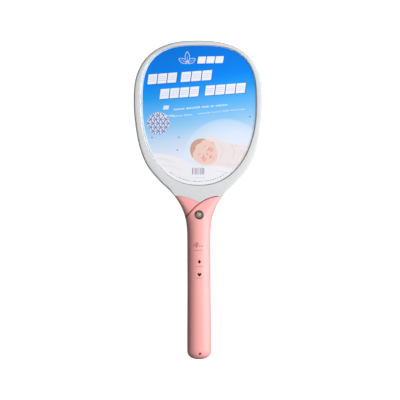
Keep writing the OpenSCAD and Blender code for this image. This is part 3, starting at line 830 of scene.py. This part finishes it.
rear_shell = shell_sheet("handle_rear", full, lambda a: meets(a, rear_seam), False, WALL, edge=0.25)
REST_Z = -MID_Z     # the rear face that the swatter lies on
bay_walls = rounded_box("walls", (-11.7, 16, -15.2), (11.7, 53.5, -4.8), 0.4)
boolean(rear_shell, bay_walls, "UNION", angle=40)
bay = rounded_box("bay", (-10.2, 17.5, -30), (10.2, 52, -6.3), 0.9)
boolean(rear_shell, bay, angle=40)
bay_mouth = prism("mouth", [(-10.9, 16.8), (10.9, 16.8), (10.9, 52.7), (-10.9, 52.7)], -18, REST_Z + 0.45)
boolean(rear_shell, bay_mouth, angle=40)
hole_profile = [(0, -20), (2.6, -20), (2.6, -15.6), (HANG_R, -14.4), (HANG_R, 1), (0, 1)]
for cutter in (
        prism("dish", oblong(0, BUTTON_Y, 19, 14), -25, REST_Z + 0.6, 0.5),
        prism("well", oblong(0, BUTTON_Y, 13.5, 9.5), -25, -10),
        prism("slide_dish", oblong(0, SLOT_Y, 18.4, 9), -25, REST_Z + 0.6, 0.5),
        prism("slide_slot", oblong(0, SLOT_Y, 15.0, 5.1), -25, -10),
        revolve("hole", hole_profile, (0, HANG_Y, 0), 40)):
    boolean(rear_shell, cutter, angle=40)
for at in SHELL_SCREWS:
    face = -rear_h(at[1])
    post_profile = [(0, face + 2.0), (2.9, face + 2.0), (2.9, face + 5.0), (0, face + 5.0)]
    boolean(rear_shell, revolve("post", post_profile, (at[0], at[1], 0), 40), "UNION", angle=40)
    boolean(rear_shell, pocket(at, SCREW_POCKET_R, face + 3.0, face), angle=40)
place(rear_shell, pink, stands_for=["handle_rear_shell"])


# ---------- screws ----------

def screw(at, head_z, tip_z):
    """A pan head with a cross recess, facing the rear, and a threaded shank."""
    head = revolve("head", [(0, 1.4), (1.75, 1.4), (1.9, 1.25), (1.9, 0.75), (1.7, 0.35), (1.2, 0.1), (0, 0)],
                   (at[0], at[1], head_z), 36)
    for w, l in ((0.42, 2.3), (2.3, 0.42)):
        low = (at[0] - w / 2, at[1] - l / 2, head_z - 1)
        high = (at[0] + w / 2, at[1] + l / 2, head_z + 0.85)
        boolean(head, rounded_box("slot", low, high, 0.06, 1))
    profile = [(0.0, head_z + 1.4)]
    z, k = head_z + 1.4, 0
    while z < tip_z - 1.0:
        profile.append((1.2 if k % 2 else 0.95, z))
        z += 0.45
        k += 1
    profile += [(0.5, tip_z - 0.4), (0.0, tip_z)]
    shank = revolve("shank", profile, (at[0], at[1], 0.0), 24, 25)
    return [head, shank]


parts = []
for at in HEAD_SCREWS:
    parts += screw(at, -7.9, 6.3)
place(join("screws_head", parts, 35), steel, stands_for=["head_screws"])
parts = []
for at in SHELL_SCREWS:
    parts += screw(at, 1.6 - rear_h(at[1]), front_h(at[1]) - 3)
place(join("screws_handle", parts, 35), steel, stands_for=["handle_screws"])


# ---------- torch ----------

at = (0.0, TORCH_Y, torch_face)
bezel_profile = [(6.0, -7.0), (6.8, -7.0), (6.85, -6.9), (6.85, 0.45)]
bezel_profile += [(5.95 + 0.9 * math.cos(t), 0.45 + 0.62 * math.sin(t))
                  for t in (math.pi * i / 16 for i in range(1, 12))]
bezel_profile += [(5.25, 0.25), (5.1, 0.05), (5.1, -0.1), (5.65, -0.15), (5.65, -1.3), (6.0, -1.5)]
bezel = revolve("torch_bezel_ring", bezel_profile, at, 96)
place(bezel, gunmetal, stands_for=["torch_bezel"])
reflector_profile = [(5.55, -1.45), (5.1, -1.5)]
reflector_profile += [(2.7 + 2.4 * (i / 10) ** 0.6, -6.3 + 4.7 * (i / 10)) for i in range(10, -1, -1)]
reflector_profile += [(2.7, -7.0), (3.3, -7.0), (4.3, -5.2), (5.3, -3.0), (5.55, -2.4)]
reflector = revolve("torch_reflector_cup", reflector_profile, at, 72)
place(reflector, mirror, stands_for=["torch_reflector"])
g = Graph("clear_lens")
haze = g.spread(g.noise(120.0, 3.0), 0.3, 0.7, 0.03, 0.09)
lens_material = g.set(Base_Color=(0.93, 0.95, 0.94, 1), Roughness=haze, Transmission_Weight=0.96, IOR=1.46,
                      Normal=g.bump(g.noise(500.0), 0.04, 0.00003))
lens_profile = [(0.0, -0.75), (5.45, -0.75), (5.55, -0.65), (5.55, -0.3), (5.45, -0.2), (5.1, -0.15)]
lens_profile += [(5.1 * (1 - i / 8), -0.15 + 0.28 * (1 - (1 - i / 8) ** 2)) for i in range(1, 9)]
lens = revolve("torch_lens_disc", lens_profile, at, 72)
place(lens, lens_material, stands_for=["torch_lens"])
g = Graph("led_resin")
glow = g.spread(g.noise(300.0), 0.3, 0.7, 0.85, 1.0)
led_colour = g.mix(glow, srgb(186, 206, 96), srgb(222, 240, 132))
led_material = g.set(Base_Color=led_colour, Roughness=g.spread(glow, 0.85, 1, 0.1, 0.2),
                     Transmission_Weight=0.1, Coat_Weight=0.6, IOR=1.5)
led_profile = [(0.0, -8.1), (2.9, -8.1), (2.9, -7.2), (2.5, -7.2), (2.5, -4.2)]
led_profile += [(2.5 * math.cos(t), -4.2 + 2.5 * math.sin(t))
                for t in (math.pi / 2 * i / 10 for i in range(1, 11))]
led = revolve("led", led_profile, at, 48)
legs = [tube("leg", [(x, TORCH_Y, torch_face - depth) for depth in (11.1, 9.5, 8.0)], 0.28)
        for x in (-1.27, 1.27)]
place(join("torch_led_dome", [led, *legs]), led_material, stands_for=["torch_led"])
chip = revolve("torch_led_die", [(0.0, -4.6), (0.75, -4.6), (0.75, -4.35), (0.0, -4.35)], at, 24)
place(chip, black)


# ---------- marks on the handle ----------

def on_face(name, outline):
    """A thin print that follows the curved face of the handle."""
    n, sunk = len(outline), -0.08
    cx, cy = sum(p[0] for p in outline) / n, sum(p[1] for p in outline) / n
    top = [on_shell(x, y, PAD_LIFT) for x, y in outline]
    low = [on_shell(x, y, sunk) for x, y in outline]
    faces = [(i, (i + 1) % n, n + (i + 1) % n, n + i) for i in range(n)]
    faces += [(n + i, n + (i + 1) % n, 2 * n) for i in range(n)]
    faces += [((i + 1) % n, i, 2 * n + 1) for i in range(n)]
    obj = make(name, low + top + [on_shell(cx, cy, PAD_LIFT), on_shell(cx, cy, sunk)], faces, 30)
    place(obj, pad_print)


def bar(x0, y0, x1, y1, w, taper=1.0, steps=6):
    """An oblong from one point to another with round ends."""
    a, b = Vector((x0, y0)), Vector((x1, y1))
    u = (b - a).normalized()
    v = Vector((-u.y, u.x))
    pts = []
    for centre, sign, half in ((b, 1, w / 2 * taper), (a, -1, w / 2)):
        for i in range(steps + 1):
            t = math.pi * i / steps - math.pi / 2
            p = centre + u * (sign * half * (math.cos(t) - 1)) + v * (sign * half * math.sin(t))
            pts.append((p.x, p.y))
    return pts


# From x to x, y and width of each dash in the place of a word
DASHES = ((-5.2, -2.6, 143.0, 0.75), (-2.0, 0.9, 143.0, 0.75), (1.5, 5.2, 143.0, 0.75),
          (-4.8, -1.4, 125.6, 0.65), (-0.8, 1.9, 125.6, 0.65), (2.5, 4.8, 125.6, 0.65),
          (-8.2, -4.6, 168.2, 0.6), (-4.0, -0.6, 168.0, 0.6), (0.0, 5.4, 168.2, 0.6),
          (-0.8, 1.4, 174.4, 1.0), (1.9, 5.6, 174.6, 1.0))
for number, (x0, x1, y, w) in enumerate(DASHES, 1):
    on_face(f"handle_dash_{number}", bar(x0, y, x1, y, w))
for k, (x, y, turn, size) in enumerate(((-5.6, 177.4, 38, 4.4), (-3.4, 175.2, 62, 3.4))):
    outer = disc(x, y, size, size * 0.36, turn, 40)
    inner = disc(x, y, size - 0.7, size * 0.36 - 0.62, turn, 40)
    n = len(outer)
    pts = [on_shell(px, py, lift) for lift in (PAD_LIFT, -0.05) for px, py in outer + inner]
    faces = []
    for i in range(n):
        j = (i + 1) % n
        faces += [(i, j, n + j, n + i), (2 * n + i, 2 * n + j, j, i), (n + i, n + j, 3 * n + j, 3 * n + i),
                  (3 * n + i, 3 * n + j, 2 * n + j, 2 * n + i)]
    place(make(f"handle_mark_{k + 1}", pts, faces, 30), pad_print)


# ---------- controls ----------

def oblong_cap(x, y, length, width, edge, dish=0.0):
    """A cap that faces the rear: rounded edge and a shallow finger dish."""
    outline = oblong(x, y, length, width, 20)

    def scaled(kx, ky, z):
        return [(x + (px - x) * kx, y + (py - y) * ky, z) for px, py in outline]

    rings = [[(px, py, FLANGE_Z + 0.1) for px, py in outline]]
    for i in range(7):
        t = math.pi / 2 * i / 6
        inset = edge * (1 - math.cos(t))
        z = CAP_FACE + edge * (1 - math.sin(t))
        rings.append(scaled(1 - inset / (width / 2), 1 - inset / (length / 2), z))
    for i in range(1, 9):
        k = 1 - i / 9
        depth = dish * math.cos(k * math.pi / 2) ** 2
        rings.append(scaled(k * (1 - edge / (width / 2)), k * (1 - edge / (length / 2)), CAP_FACE + depth))
    return skin("cap", rings, angle=40)


stem_profile = [(0, FLANGE_Z + 0.9), (1.6, FLANGE_Z + 0.9), (1.6, -11.5), (1.5, -11.4), (0, -11.4)]
button = [oblong_cap(0, BUTTON_Y, 13, 9, 0.5, 0.5),
          prism("flange", oblong(0, BUTTON_Y, 16, 11.6), FLANGE_Z, FLANGE_Z + 1.0, 0.2),
          revolve("stem", stem_profile, (0, BUTTON_Y, 0), 32)]
place(join("button_cap", button, 40), ivory, "button", ["push_button"])
knob = oblong_cap(0, SLIDER_Y, 8.4, 4.6, 0.35)
for k in (-1, 0, 1):
    y = SLIDER_Y + 1.6 * k
    boolean(knob, rounded_box("rib", (-3, y - 0.35, -18), (3, y + 0.35, -15.8), 0.12, 2), angle=40)
slide_plate = rounded_box("plate", (-3.6, SLIDER_Y - 9.7, FLANGE_Z), (3.6, SLIDER_Y + 9.7, FLANGE_Z + 1), 0.2)
place(join("slider_knob", [knob, slide_plate], 40), ivory, "slider", ["slide_knob"])


# ---------- plug ----------

PIVOT = (0, PLUG_Y, PIVOT_Z)
carrier = rounded_box("carrier", (-9.6, PLUG_Y, PIVOT_Z - 4), (9.6, PLUG_Y + 8.5, PIVOT_Z + 4), 0.7, 4)
barrel_profile = [(0, -9.6), (4.1, -9.6), (4.3, -9.4), (4.3, 9.4), (4.1, 9.6), (0, 9.6)]
boolean(carrier, revolve("barrel", barrel_profile, PIVOT, 64, axis="X"), "UNION", angle=35)
boolean(carrier, revolve("bore", [(0, -11), (1.3, -11), (1.3, 11), (0, 11)], PIVOT, 40, axis="X"), angle=35)
for x in (-5.4, -1.8, 1.8, 5.4):
    low, high = (x - 0.5, PLUG_Y + 5.2, PIVOT_Z - 6), (x + 0.5, PLUG_Y + 10, PIVOT_Z - 3.6)
    boolean(carrier, rounded_box("grip", low, high, 0.15, 2), angle=35)
place(carrier, black, "plug", ["plug_carrier"])
blades = []
for x in (-BLADE_X, BLADE_X):
    low, high = (x - 0.75, PLUG_Y + 3, PIVOT_Z - 3.175), (x + 0.75, PLUG_Y + 25.5, PIVOT_Z + 3.175)
    b = rounded_box("blade", low, high, 0.3)
    eye_profile = [(0, x - 3), (1.5, x - 3), (1.5, x + 3), (0, x + 3)]
    boolean(b, revolve("eye", eye_profile, (0, PLUG_Y + 21.5, PIVOT_Z), 36, axis="X"), angle=35)
    blades.append(b)
place(join("plug_blade_pair", blades, 35), brass, "plug", ["plug_blades"])
pin_profile = [(0, -11.6), (1.15, -11.6), (1.25, -11.5), (1.25, 11.5), (1.15, 11.6), (0, 11.6)]
pin = revolve("pivot_pin", pin_profile, PIVOT, 32, axis="X")
place(pin, steel, stands_for=["plug_pivot_pin"])


# ---------- parts inside the handle keep their CAD shape and get a finish ----------

INNER = {
    "circuit_board": (srgb(30, 104, 62), 0.4), "transformer_core": (srgb(52, 52, 55), 0.6),
    "transformer_winding": (srgb(222, 200, 120), 0.4), "hv_capacitors": (srgb(142, 74, 42), 0.35),
    "mains_capacitor": (srgb(216, 160, 52), 0.35), "filter_capacitor": (srgb(28, 36, 92), 0.35),
    "hv_diodes": (srgb(40, 40, 44), 0.4), "resistors": (srgb(214, 186, 146), 0.5),
    "switching_transistor": (srgb(34, 34, 38), 0.5), "tact_switch": (srgb(48, 48, 54), 0.5),
    "switch_plunger": (srgb(226, 222, 208), 0.4), "slide_lever": (srgb(34, 34, 38), 0.5),
    "battery_cell": (srgb(60, 120, 176), 0.35), "battery_leads": (srgb(190, 30, 38), 0.45),
    "net_leads": (srgb(190, 30, 38), 0.45), "torch_leads": (srgb(30, 30, 32), 0.45),
    "plug_leads": (srgb(70, 70, 74), 0.45), "indicator_leds": (srgb(196, 30, 30), 0.2),
}


def finish_node(name, material):
    node = frame["nodes"][name]
    if not node.material_slots:
        node.data.materials.append(None)
    for s in node.material_slots:
        s.link = "OBJECT"
        s.material = material


for name, (colour, rough) in INNER.items():
    finish_node(name, moulded("inner_" + name, colour, rough, depth=0.15, blotch=0.08))
for name in ("board_screws", "slide_switch", "battery_tabs"):
    finish_node(name, steel)
finish_node("plug_contacts", brass)


# ---------- printed card ----------

HAZE_AT = (41, 303, CARD_TOP)     # middle of the pale dome
g = Graph("printed_card")
dot = g.node("ShaderNodeVectorMath", operation="DOT_PRODUCT")
dot.inputs[1].default_value = (91.0, -650.0, 0.0)
g.links.new(g.coords, dot.inputs[0])
along = g.spread(dot.outputs["Value"], -157.0, -47.0, 0.0, 1.0)
ramp = g.node("ShaderNodeValToRGB")
stops = ((0.0, (4, 112, 212)), (0.23, (0, 124, 228)), (0.32, (0, 132, 238)), (0.45, (34, 154, 236)),
         (0.59, (96, 179, 240)), (0.73, (144, 197, 237)), (0.86, (194, 215, 237)), (1.0, (220, 225, 239)))
ramp.color_ramp.elements[0].position, ramp.color_ramp.elements[1].position = 0.0, 1.0
for position, colour in stops[1:-1]:
    ramp.color_ramp.elements.new(position)
for element, (position, colour) in zip(ramp.color_ramp.elements, stops):
    element.position, element.color = position, srgb(*colour)
g.links.new(along, ramp.inputs[0])
screen = g.noise(1500.0, 1.0, 0.4)
clouds = g.spread(g.noise(16.0, 3.0, 0.5), 0.35, 0.7, 0.0, 0.5)
tinted = g.mix(clouds, ramp.outputs[0], (0.90, 0.92, 0.96, 1), "MULTIPLY")
away = g.node("ShaderNodeVectorMath", operation="DISTANCE")
away.inputs[1].default_value = world(HAZE_AT)
g.links.new(g.coords, away.inputs[0])
inside = g.spread(away.outputs["Value"], 0.068, 0.064, 0.0, 0.34)
centre = g.spread(away.outputs["Value"], 0.064, 0.030, 0.0, 0.75)
veiled = g.mix(centre, g.mix(inside, tinted, srgb(222, 232, 243)), srgb(218, 226, 238))
base = g.mix(g.spread(screen, 0.35, 0.65, 0.0, 0.5), veiled, (0.95, 0.95, 0.97, 1), "MULTIPLY")
film = g.spread(g.noise(40.0, 4.0), 0.3, 0.7, 0.40, 0.52)
print_material = g.set(Base_Color=base, Roughness=film, Specular_IOR_Level=0.06,
                       Normal=g.bump(g.noise(600.0, 2.0), 0.03, 0.00003))
card_stock = printed("card_stock", srgb(222, 238, 247))
card = prism("card_sheet", open_outline(-0.8), CARD_TOP - 0.5, CARD_TOP, 0.08, steps=2)
place(card, card_stock, "card", ["display_card"])
picture = [(x + 2.4 * step(-x / 70), y) for x, y in open_outline(-1.0)]
picture_sheet = prism("card_picture", picture, CARD_TOP - 0.1, CARD_TOP + 0.015)
place(picture_sheet, print_material, "card")

INK_COLOURS = {
    "white": (230, 233, 243), "lilac": (182, 186, 220), "blue": (24, 88, 176), "pale": (206, 226, 246),
    "faint": (188, 215, 243), "net": (160, 184, 224), "lattice": (104, 96, 136), "grey": (132, 132, 148),
    "bars": (140, 132, 160), "insect": (54, 66, 84), "sheet": (228, 227, 232), "fold": (214, 213, 221),
    "cloth": (226, 216, 217), "crease": (212, 196, 198), "skin": (230, 196, 186),
    "skin_shade": (206, 156, 148),
    "blush": (228, 168, 162), "hair": (196, 156, 140), "line": (134, 88, 80), "lip": (206, 118, 116),
}
INKS = {name: printed("ink_" + name, srgb(*colour)) for name, colour in INK_COLOURS.items()}


def ink(name, outlines, level, colour, clip=False):
    """Flat printed shapes on the card, one above another by level."""
    parts = [prism("ink", o, CARD_TOP - 0.05, CARD_TOP + 0.03 * level) for o in outlines]
    obj = join(name, parts) if len(parts) > 1 else parts[0]
    obj.name = name
    if clip:
        boolean(obj, prism("clip", open_outline(-1.1), CARD_TOP - 0.3, CARD_TOP + 1.0), "INTERSECT")
    place(obj, INKS[colour], "card")


def curve_through(points, closed=True, steps=10):
    out, n = [], len(points)
    for i in range(n if closed else n - 1):
        near = [(i + k) % n if closed else min(max(i + k, 0), n - 1) for k in (-1, 0, 1, 2)]
        a, b, c, d = (points[k] for k in near)
        out += [spline(a, b, c, d, s / steps) for s in range(steps)]
    return out if closed else out + [points[-1]]


def stroke(points, w, ends=0.25):
    """A tapered stroke along a curve."""
    line = curve_through(points, False, 8)
    left, right = [], []
    for i, p in enumerate(line):
        a, b = Vector(line[max(i - 1, 0)]), Vector(line[min(i + 1, len(line) - 1)])
        v = Vector((-(b - a).y, (b - a).x)).normalized()
        t = i / (len(line) - 1)
        half = w / 2 * (ends + (1 - ends) * math.sin(math.pi * t) ** 0.5)
        left.append((p[0] + v.x * half, p[1] + v.y * half))
        right.append((p[0] - v.x * half, p[1] - v.y * half))
    return left + right[::-1]


def block(x, y, w, h, slant=0.2, tilt=0.073, r=0.7):
    """A leaning block on a rising line, in the place of one letter."""
    corners = [(0, 0), (w, 0), (w + slant * h, h), (slant * h, h)]
    corners = [Vector((x + a - b * tilt, y + b + a * tilt)) for a, b in corners]
    pts = []
    for i in range(4):
        a, b, c = corners[i - 1], corners[i], corners[(i + 1) % 4]
        p, q = b + (a - b).normalized() * r, b + (c - b).normalized() * r
        pts += [tuple(p * (1 - t) ** 2 + b * 2 * t * (1 - t) + q * t * t) for t in (0, 0.33, 0.67, 1)]
    return pts


def tiles(x, y, length, count, height, gap=1.5, tilt=0.073):
    """A rising row of equal leaning tiles, in the place of a word."""
    pitch = (length + gap) / count
    return [block(x + i * pitch, y + i * pitch * tilt, pitch - gap, height, tilt=tilt) for i in range(count)]


headline = (tiles(-78.5, 422.5, 43.9, 3, 15) + tiles(-27.6, 426.0, 46.7, 3, 15)
            + tiles(-60.0, 400.0, 59.3, 4, 15) + tiles(9.5, 405.2, 61.5, 4, 15))
ink("card_headline_shadow", [[(px + 1.0, py - 0.8) for px, py in o] for o in headline], 1.0, "blue")
ink("card_headline", headline, 2.0, "white")
streaks = []
for o in headline:
    low_left, low_right, top_right, top_left = (Vector(o[k]) for k in (1, 5, 9, 13))
    for share in (0.3, 0.5, 0.7):
        a, b = low_left.lerp(top_left, share), low_right.lerp(top_right, share)
        streaks.append(bar(*a.lerp(b, 0.10), *a.lerp(b, 0.90), 0.7))
ink("card_headline_streaks", streaks, 2.6, "lilac")
ink("card_title", tiles(-2.0, 454.6, 39.2, 3, 10.4, 1.6, 0.02), 2.0, "white")


def leaf(x, y, length, width, turn, count=16):
    c, s = math.cos(math.radians(turn)), math.sin(math.radians(turn))
    side = [(length * i / count, width / 2 * math.sin(math.pi * i / count) ** 0.8) for i in range(count + 1)]
    pts = side + [(a, -b) for a, b in side[-2:0:-1]]
    return [(x + a * c - b * s, y + a * s + b * c) for a, b in pts]


def outline_strokes(outline, w):
    n = len(outline)
    return [bar(*outline[i], *outline[(i + 1) % n], w, steps=3) for i in range(0, n)]


MARK = (-17.0, 455.0)
LEAVES = ((15, 152), (14, 30), (18, 91))     # length and direction
mark = []
for length, turn in LEAVES:
    mark += outline_strokes(leaf(*MARK, length, 7.0, turn), 0.9)
for _, turn in LEAVES:
    t = math.radians(turn)
    mark.append(bar(*MARK, MARK[0] + 11 * math.cos(t), MARK[1] + 11 * math.sin(t), 0.6, 0.5))
ink("card_mark", mark, 2.0, "white")


def tick_line(x, y, lengths, h, tilt, gap=2.2):
    """Groups of short upright ticks in the place of small words."""
    out = []
    for length in lengths:
        end = x + length
        while x < end:
            w = random.choice((0.7, 0.9, 1.3))
            tall = h * random.choice((0.62, 0.7, 0.8))
            out.append(block(x, y, w, tall, 0.15, tilt, 0.2))
            x += w + 0.55
            y += (w + 0.55) * tilt
        x += gap
        y += gap * tilt
    return out


random.seed(7)
ink("card_line_1", tick_line(-38.5, 382.6, (17, 21, 10, 6, 17), 3.6, 0.088), 1.6, "pale")
second_line = tick_line(-39.5, 372.2, (14, 13), 3.2, 0.1) + tick_line(-1.0, 376.4, (19, 13, 9, 22), 2.8, 0.1)
ink("card_line_2", second_line, 1.6, "faint")
ink("card_tile", [block(-55.0, 383.8, 8.6, 6.0, 0.25, 0.05)], 1.6, "pale")


# Enlarged view of the net, a disc of crossed lines
LX, LY, LR = -62.0, 362.8, 17.6
ink("card_net_disc", [disc(LX, LY, LR, count=72)], 1.0, "net")
dark_lines, light_lines = [], []
for sign in (1, -1):
    u = Vector((sign * math.sin(math.radians(33)), math.cos(math.radians(33))))
    v = Vector((u.y, -u.x))
    for i in range(-3, 4):
        for lines, shift, w in ((dark_lines, 0.0, 0.8), (light_lines, 1.5, 1.3)):
            d = i * 6.6 + shift
            if abs(d) < LR - 1.2:
                half = math.sqrt(LR ** 2 - d ** 2) - 0.5
                a, b = Vector((LX, LY)) + v * d - u * half, Vector((LX, LY)) + v * d + u * half
                lines.append(bar(a.x, a.y, b.x, b.y, w, steps=3))
ink("card_net_light", light_lines, 1.8, "white")
ink("card_net_dark", dark_lines, 2.6, "lattice")
ink("card_net_label", tick_line(-59.5, 372.6, (3.5, 4.5, 7.0), 3.8, 0.03, 1.6), 3.2, "white")

bugs = []
for x, y, turn in ((-71.8, 340.8, 20), (-30.6, 341.2, -30), (-33.0, 321.5, 10), (79.0, 372.6, 40)):
    bugs.append(disc(x, y, 1.25, 0.5, turn, 16))
    for side in (-1, 1):
        bugs.append(disc(x + side * 0.5, y + 0.6, 0.9, 0.28, turn - side * 60, 12))
ink("card_insects", bugs, 2.0, "insect")

# Sleeping infant: cloth, head and face, then the bedding in front
cloth = curve_through([(8, 338), (24, 340.5), (38, 335), (52, 331), (70, 329), (92, 326), (100, 305),
                       (92, 286), (60, 286), (26, 290), (4, 294)])
ink("card_cloth", [cloth], 1.7, "cloth", clip=True)
creases = [stroke(p, w) for p, w in (
    ([(33, 330), (37, 323), (36, 315), (32, 308)], 0.8),
    ([(47, 331), (53, 325), (54.5, 317), (52, 309)], 1.0),
    ([(50, 328), (56, 329), (62, 326)], 0.6),
    ([(64, 322), (70, 315), (71, 307)], 0.8),
    ([(40, 301), (50, 299), (62, 300)], 0.7))]
ink("card_cloth_creases", creases, 2.0, "crease")

HEAD_X, HEAD_Y, TILT = 8.0, 319.0, 54.0
HEAD_W, HEAD_H = 18.8, 22.6      # half the width and half the height
EYE_U, EYE_V, LID = 7.4, -2.6, 3.3


def face(u, v):
    """A point of the face: u across it and v towards the crown."""
    c, s = math.cos(math.radians(TILT)), math.sin(math.radians(TILT))
    return (HEAD_X + u * c - v * s, HEAD_Y + u * s + v * c)


def face_disc(u, v, ru, rv):
    return disc(*face(u, v), ru, rv, TILT, 36)


def lid_v(k):
    """Height of a closed eyelid's line, k from its middle."""
    return EYE_V - 1.15 * math.cos(k / LID * math.pi / 2)


head = [face(u * (1 - 0.10 * max(0.0, -v / 21.5)), v) for u, v in disc(0, 0, HEAD_W, HEAD_H, 0, 72)]
ink("card_ear", [face_disc(17.4, -3.4, 3.2, 4.6)], 2.0, "skin")
ink("card_ear_fold", [stroke([face(18.2, -0.8), face(19.2, -3.0), face(18.0, -5.6)], 0.7)], 2.4, "skin_shade")
ink("card_head", [head], 2.4, "skin")
hair = [face(18.9 * math.cos(math.radians(a)), 22.7 * math.sin(math.radians(a))) for a in range(24, 157, 6)]
fringe = [(-16.2, 9.0), (-11.5, 12.6), (-5.0, 13.2), (1.5, 15.2), (8.0, 12.4), (13.2, 11.6), (16.2, 9.2)]
hair += [face(u, v) for u, v in curve_through(fringe, False, 6)]
ink("card_hair", [hair], 2.9, "hair")
strands = (((-12, 13.5), (-8, 17), (-2, 19)), ((-5, 14.4), (-1, 17.5), (5, 18.4)),
           ((3, 15.8), (7, 16.8), (11, 15.6)), ((-9, 12.9), (-5, 15.6), (0, 16.6)))
strand_strokes = [stroke([face(u, v) for u, v in strand], 0.5) for strand in strands]
ink("card_hair_strands", strand_strokes, 3.3, "skin_shade")
ink("card_cheeks", [face_disc(-9.2, -7.6, 3.6, 2.7), face_disc(9.2, -7.6, 3.6, 2.7)], 3.0, "blush")
eyes = []
for side in (-1, 1):
    u = side * EYE_U
    eyes.append(stroke([face(u + k, lid_v(k)) for k in (-LID, -1.7, 0.0, 1.7, LID)], 0.75, 0.5))
    for k in (-2.2, 0.0, 2.2):
        eyes.append(bar(*face(u + k, lid_v(k)), *face(u + k * 1.22, lid_v(k) - 1.2), 0.35, steps=3))
ink("card_eyes", eyes, 3.2, "line")
brows = [stroke([face(u - 3, 3.2), face(u, 4.2), face(u + 3, 3.2)], 0.8) for u in (-EYE_U, EYE_U)]
ink("card_brows", brows, 3.2, "hair")
nose = [stroke([face(-1.7, -6.9), face(0, -7.8), face(1.7, -6.9)], 0.6, 0.5), face_disc(0, -5.6, 1.5, 1.1)]
ink("card_nose", nose, 3.2, "skin_shade")
upper_lip = [face(-3.0, -12.0), face(-1.1, -11.4), face(0, -11.8), face(1.1, -11.4), face(3.0, -12.0)]
lower_lip = [face(-2.2, -12.4), face(0, -13.5), face(2.2, -12.4)]
ink("card_mouth", [stroke(upper_lip, 0.8, 0.4), stroke(lower_lip, 1.0, 0.3)], 3.2, "lip")
ink("card_chin", [stroke([face(-2.4, -16.4), face(0, -17.0), face(2.4, -16.4)], 0.6)], 3.2, "skin_shade")

bedding = curve_through([(-96, 306), (-82, 313.5), (-66, 316.6), (-48, 314.8), (-28, 309), (-13, 301.5),
                         (0, 297.4), (14, 297.0),
                         (30, 297.2), (46, 293.8), (64, 291.6), (96, 288), (100, 250), (0, 240), (-100, 250)])
ink("card_bedding", [bedding], 3.6, "sheet", clip=True)
folds = [stroke(p, w) for p, w in (
    ([(-74, 309), (-55, 308), (-36, 302)], 1.2), ([(-62, 299), (-42, 297), (-24, 290)], 1.0),
    ([(24, 290), (44, 287), (60, 287)], 0.9), ([(-40, 286), (-24, 281), (-12, 280)], 0.7))]
ink("card_folds", folds, 4.0, "fold")

stripes, x = [], -10.3
while x < 8.0:
    w = random.choice((0.45, 0.6, 0.95, 1.3))
    stripes.append([(x, 284.2), (x + w, 284.2), (x + w, 294.4), (x, 294.4)])
    x += w + random.choice((0.55, 0.8, 1.2))
ink("card_stripes", stripes, 4.6, "bars")
ink("card_small_bars", tick_line(-9.5, 278.8, (2.4, 4.6, 6.4), 1.4, 0.0, 1.6), 4.4, "lilac")
rim_marks = []
for i in range(34):
    a = math.radians(202.0 - 43.5 * i / 33)
    u = Vector((math.sin(a), math.cos(a)))
    t = Vector((u.y, -u.x))
    p = Vector((0, OPEN_Y)) + u * (open_reach(u) - 6.2)
    half = random.choice((0.45, 0.7, 1.0))
    rim_marks.append(bar(*(p - t * half), *(p + t * half), random.choice((1.1, 1.3, 1.6)), steps=3))
ink("card_rim_marks", rim_marks, 4.4, "grey")


# ---------- floor, light and camera ----------

g = Graph("floor")
grain = g.noise(30.0, 3.0)
floor_colour = g.mix(g.spread(grain, 0.3, 0.7, 0.0, 1.0), (0.84, 0.84, 0.84, 1), (0.87, 0.87, 0.87, 1))
floor_material = g.set(Base_Color=floor_colour, Roughness=g.spread(grain, 0.3, 0.7, 0.7, 0.8),
                       Emission_Color=(1, 1, 1, 1), Emission_Strength=0.9)
FLOOR_HALF, FLOOR_Z = 6, -0.0002
me = bpy.data.meshes.new("floor")
corners = [(x * FLOOR_HALF, y * FLOOR_HALF, FLOOR_Z) for x, y in ((-1, -1), (1, -1), (1, 1), (-1, 1))]
me.from_pydata(corners, [], [(0, 1, 2, 3)])
floor = bpy.data.objects.new("floor", me)
bpy.context.scene.collection.objects.link(floor)
me.materials.append(floor_material)
floor.visible_diffuse = False
floor.visible_glossy = False
floor.visible_transmission = False


def area_light(name, direction, distance, size, power):
    light = bpy.data.lights.new(name, "AREA")
    light.shape, light.size, light.size_y, light.energy = "RECTANGLE", size[0], size[1], power
    obj = bpy.data.objects.new(name, light)
    d = Vector(direction).normalized()
    obj.location = d * distance
    obj.rotation_mode = "QUATERNION"
    obj.rotation_quaternion = d.to_track_quat("Z", "Y")
    bpy.context.scene.collection.objects.link(obj)


KEY = math.radians(41)
area_light("key", (math.sin(KEY), 0.06, math.cos(KEY)), 1.8, (0.8, 1.2), 32.5)
area_light("top", (0.05, 0.0, 1.0), 2.0, (0.7, 1.4), 8)
area_light("rim", (1.0, 0.0, 0.25), 1.8, (0.5, 1.4), 14)
world_settings = bpy.data.worlds.new("world")
world_settings.use_nodes = True
world_settings.node_tree.nodes["Background"].inputs[0].default_value = (1, 1, 1, 1)
world_settings.node_tree.nodes["Background"].inputs[1].default_value = 0.12
bpy.context.scene.world = world_settings
bpy.context.scene.view_settings.view_transform = "Standard"

DISTANCE = 3.0
FRAME_WIDTH = 0.6154     # what the view takes in at the target, in metres
SENSOR = 36
camera_data = bpy.data.cameras.new("camera")
camera_data.sensor_width = SENSOR
camera_data.lens = SENSOR * DISTANCE / FRAME_WIDTH
camera = bpy.data.objects.new("camera", camera_data)
bpy.context.scene.collection.objects.link(camera)
target = Vector((0.0018, 0.0, 0.0165))
lean, roll = math.radians(-2.4), math.radians(0.2)
back = Vector((math.sin(lean), 0, math.cos(lean)))
up = Vector((math.sin(roll), math.cos(roll), 0))
right = up.cross(back).normalized()
up = back.cross(right)
turn = Matrix((right, up, back)).transposed().to_4x4()
camera.matrix_world = Matrix.Translation(target + back * DISTANCE) @ turn
bpy.context.scene.camera = camera
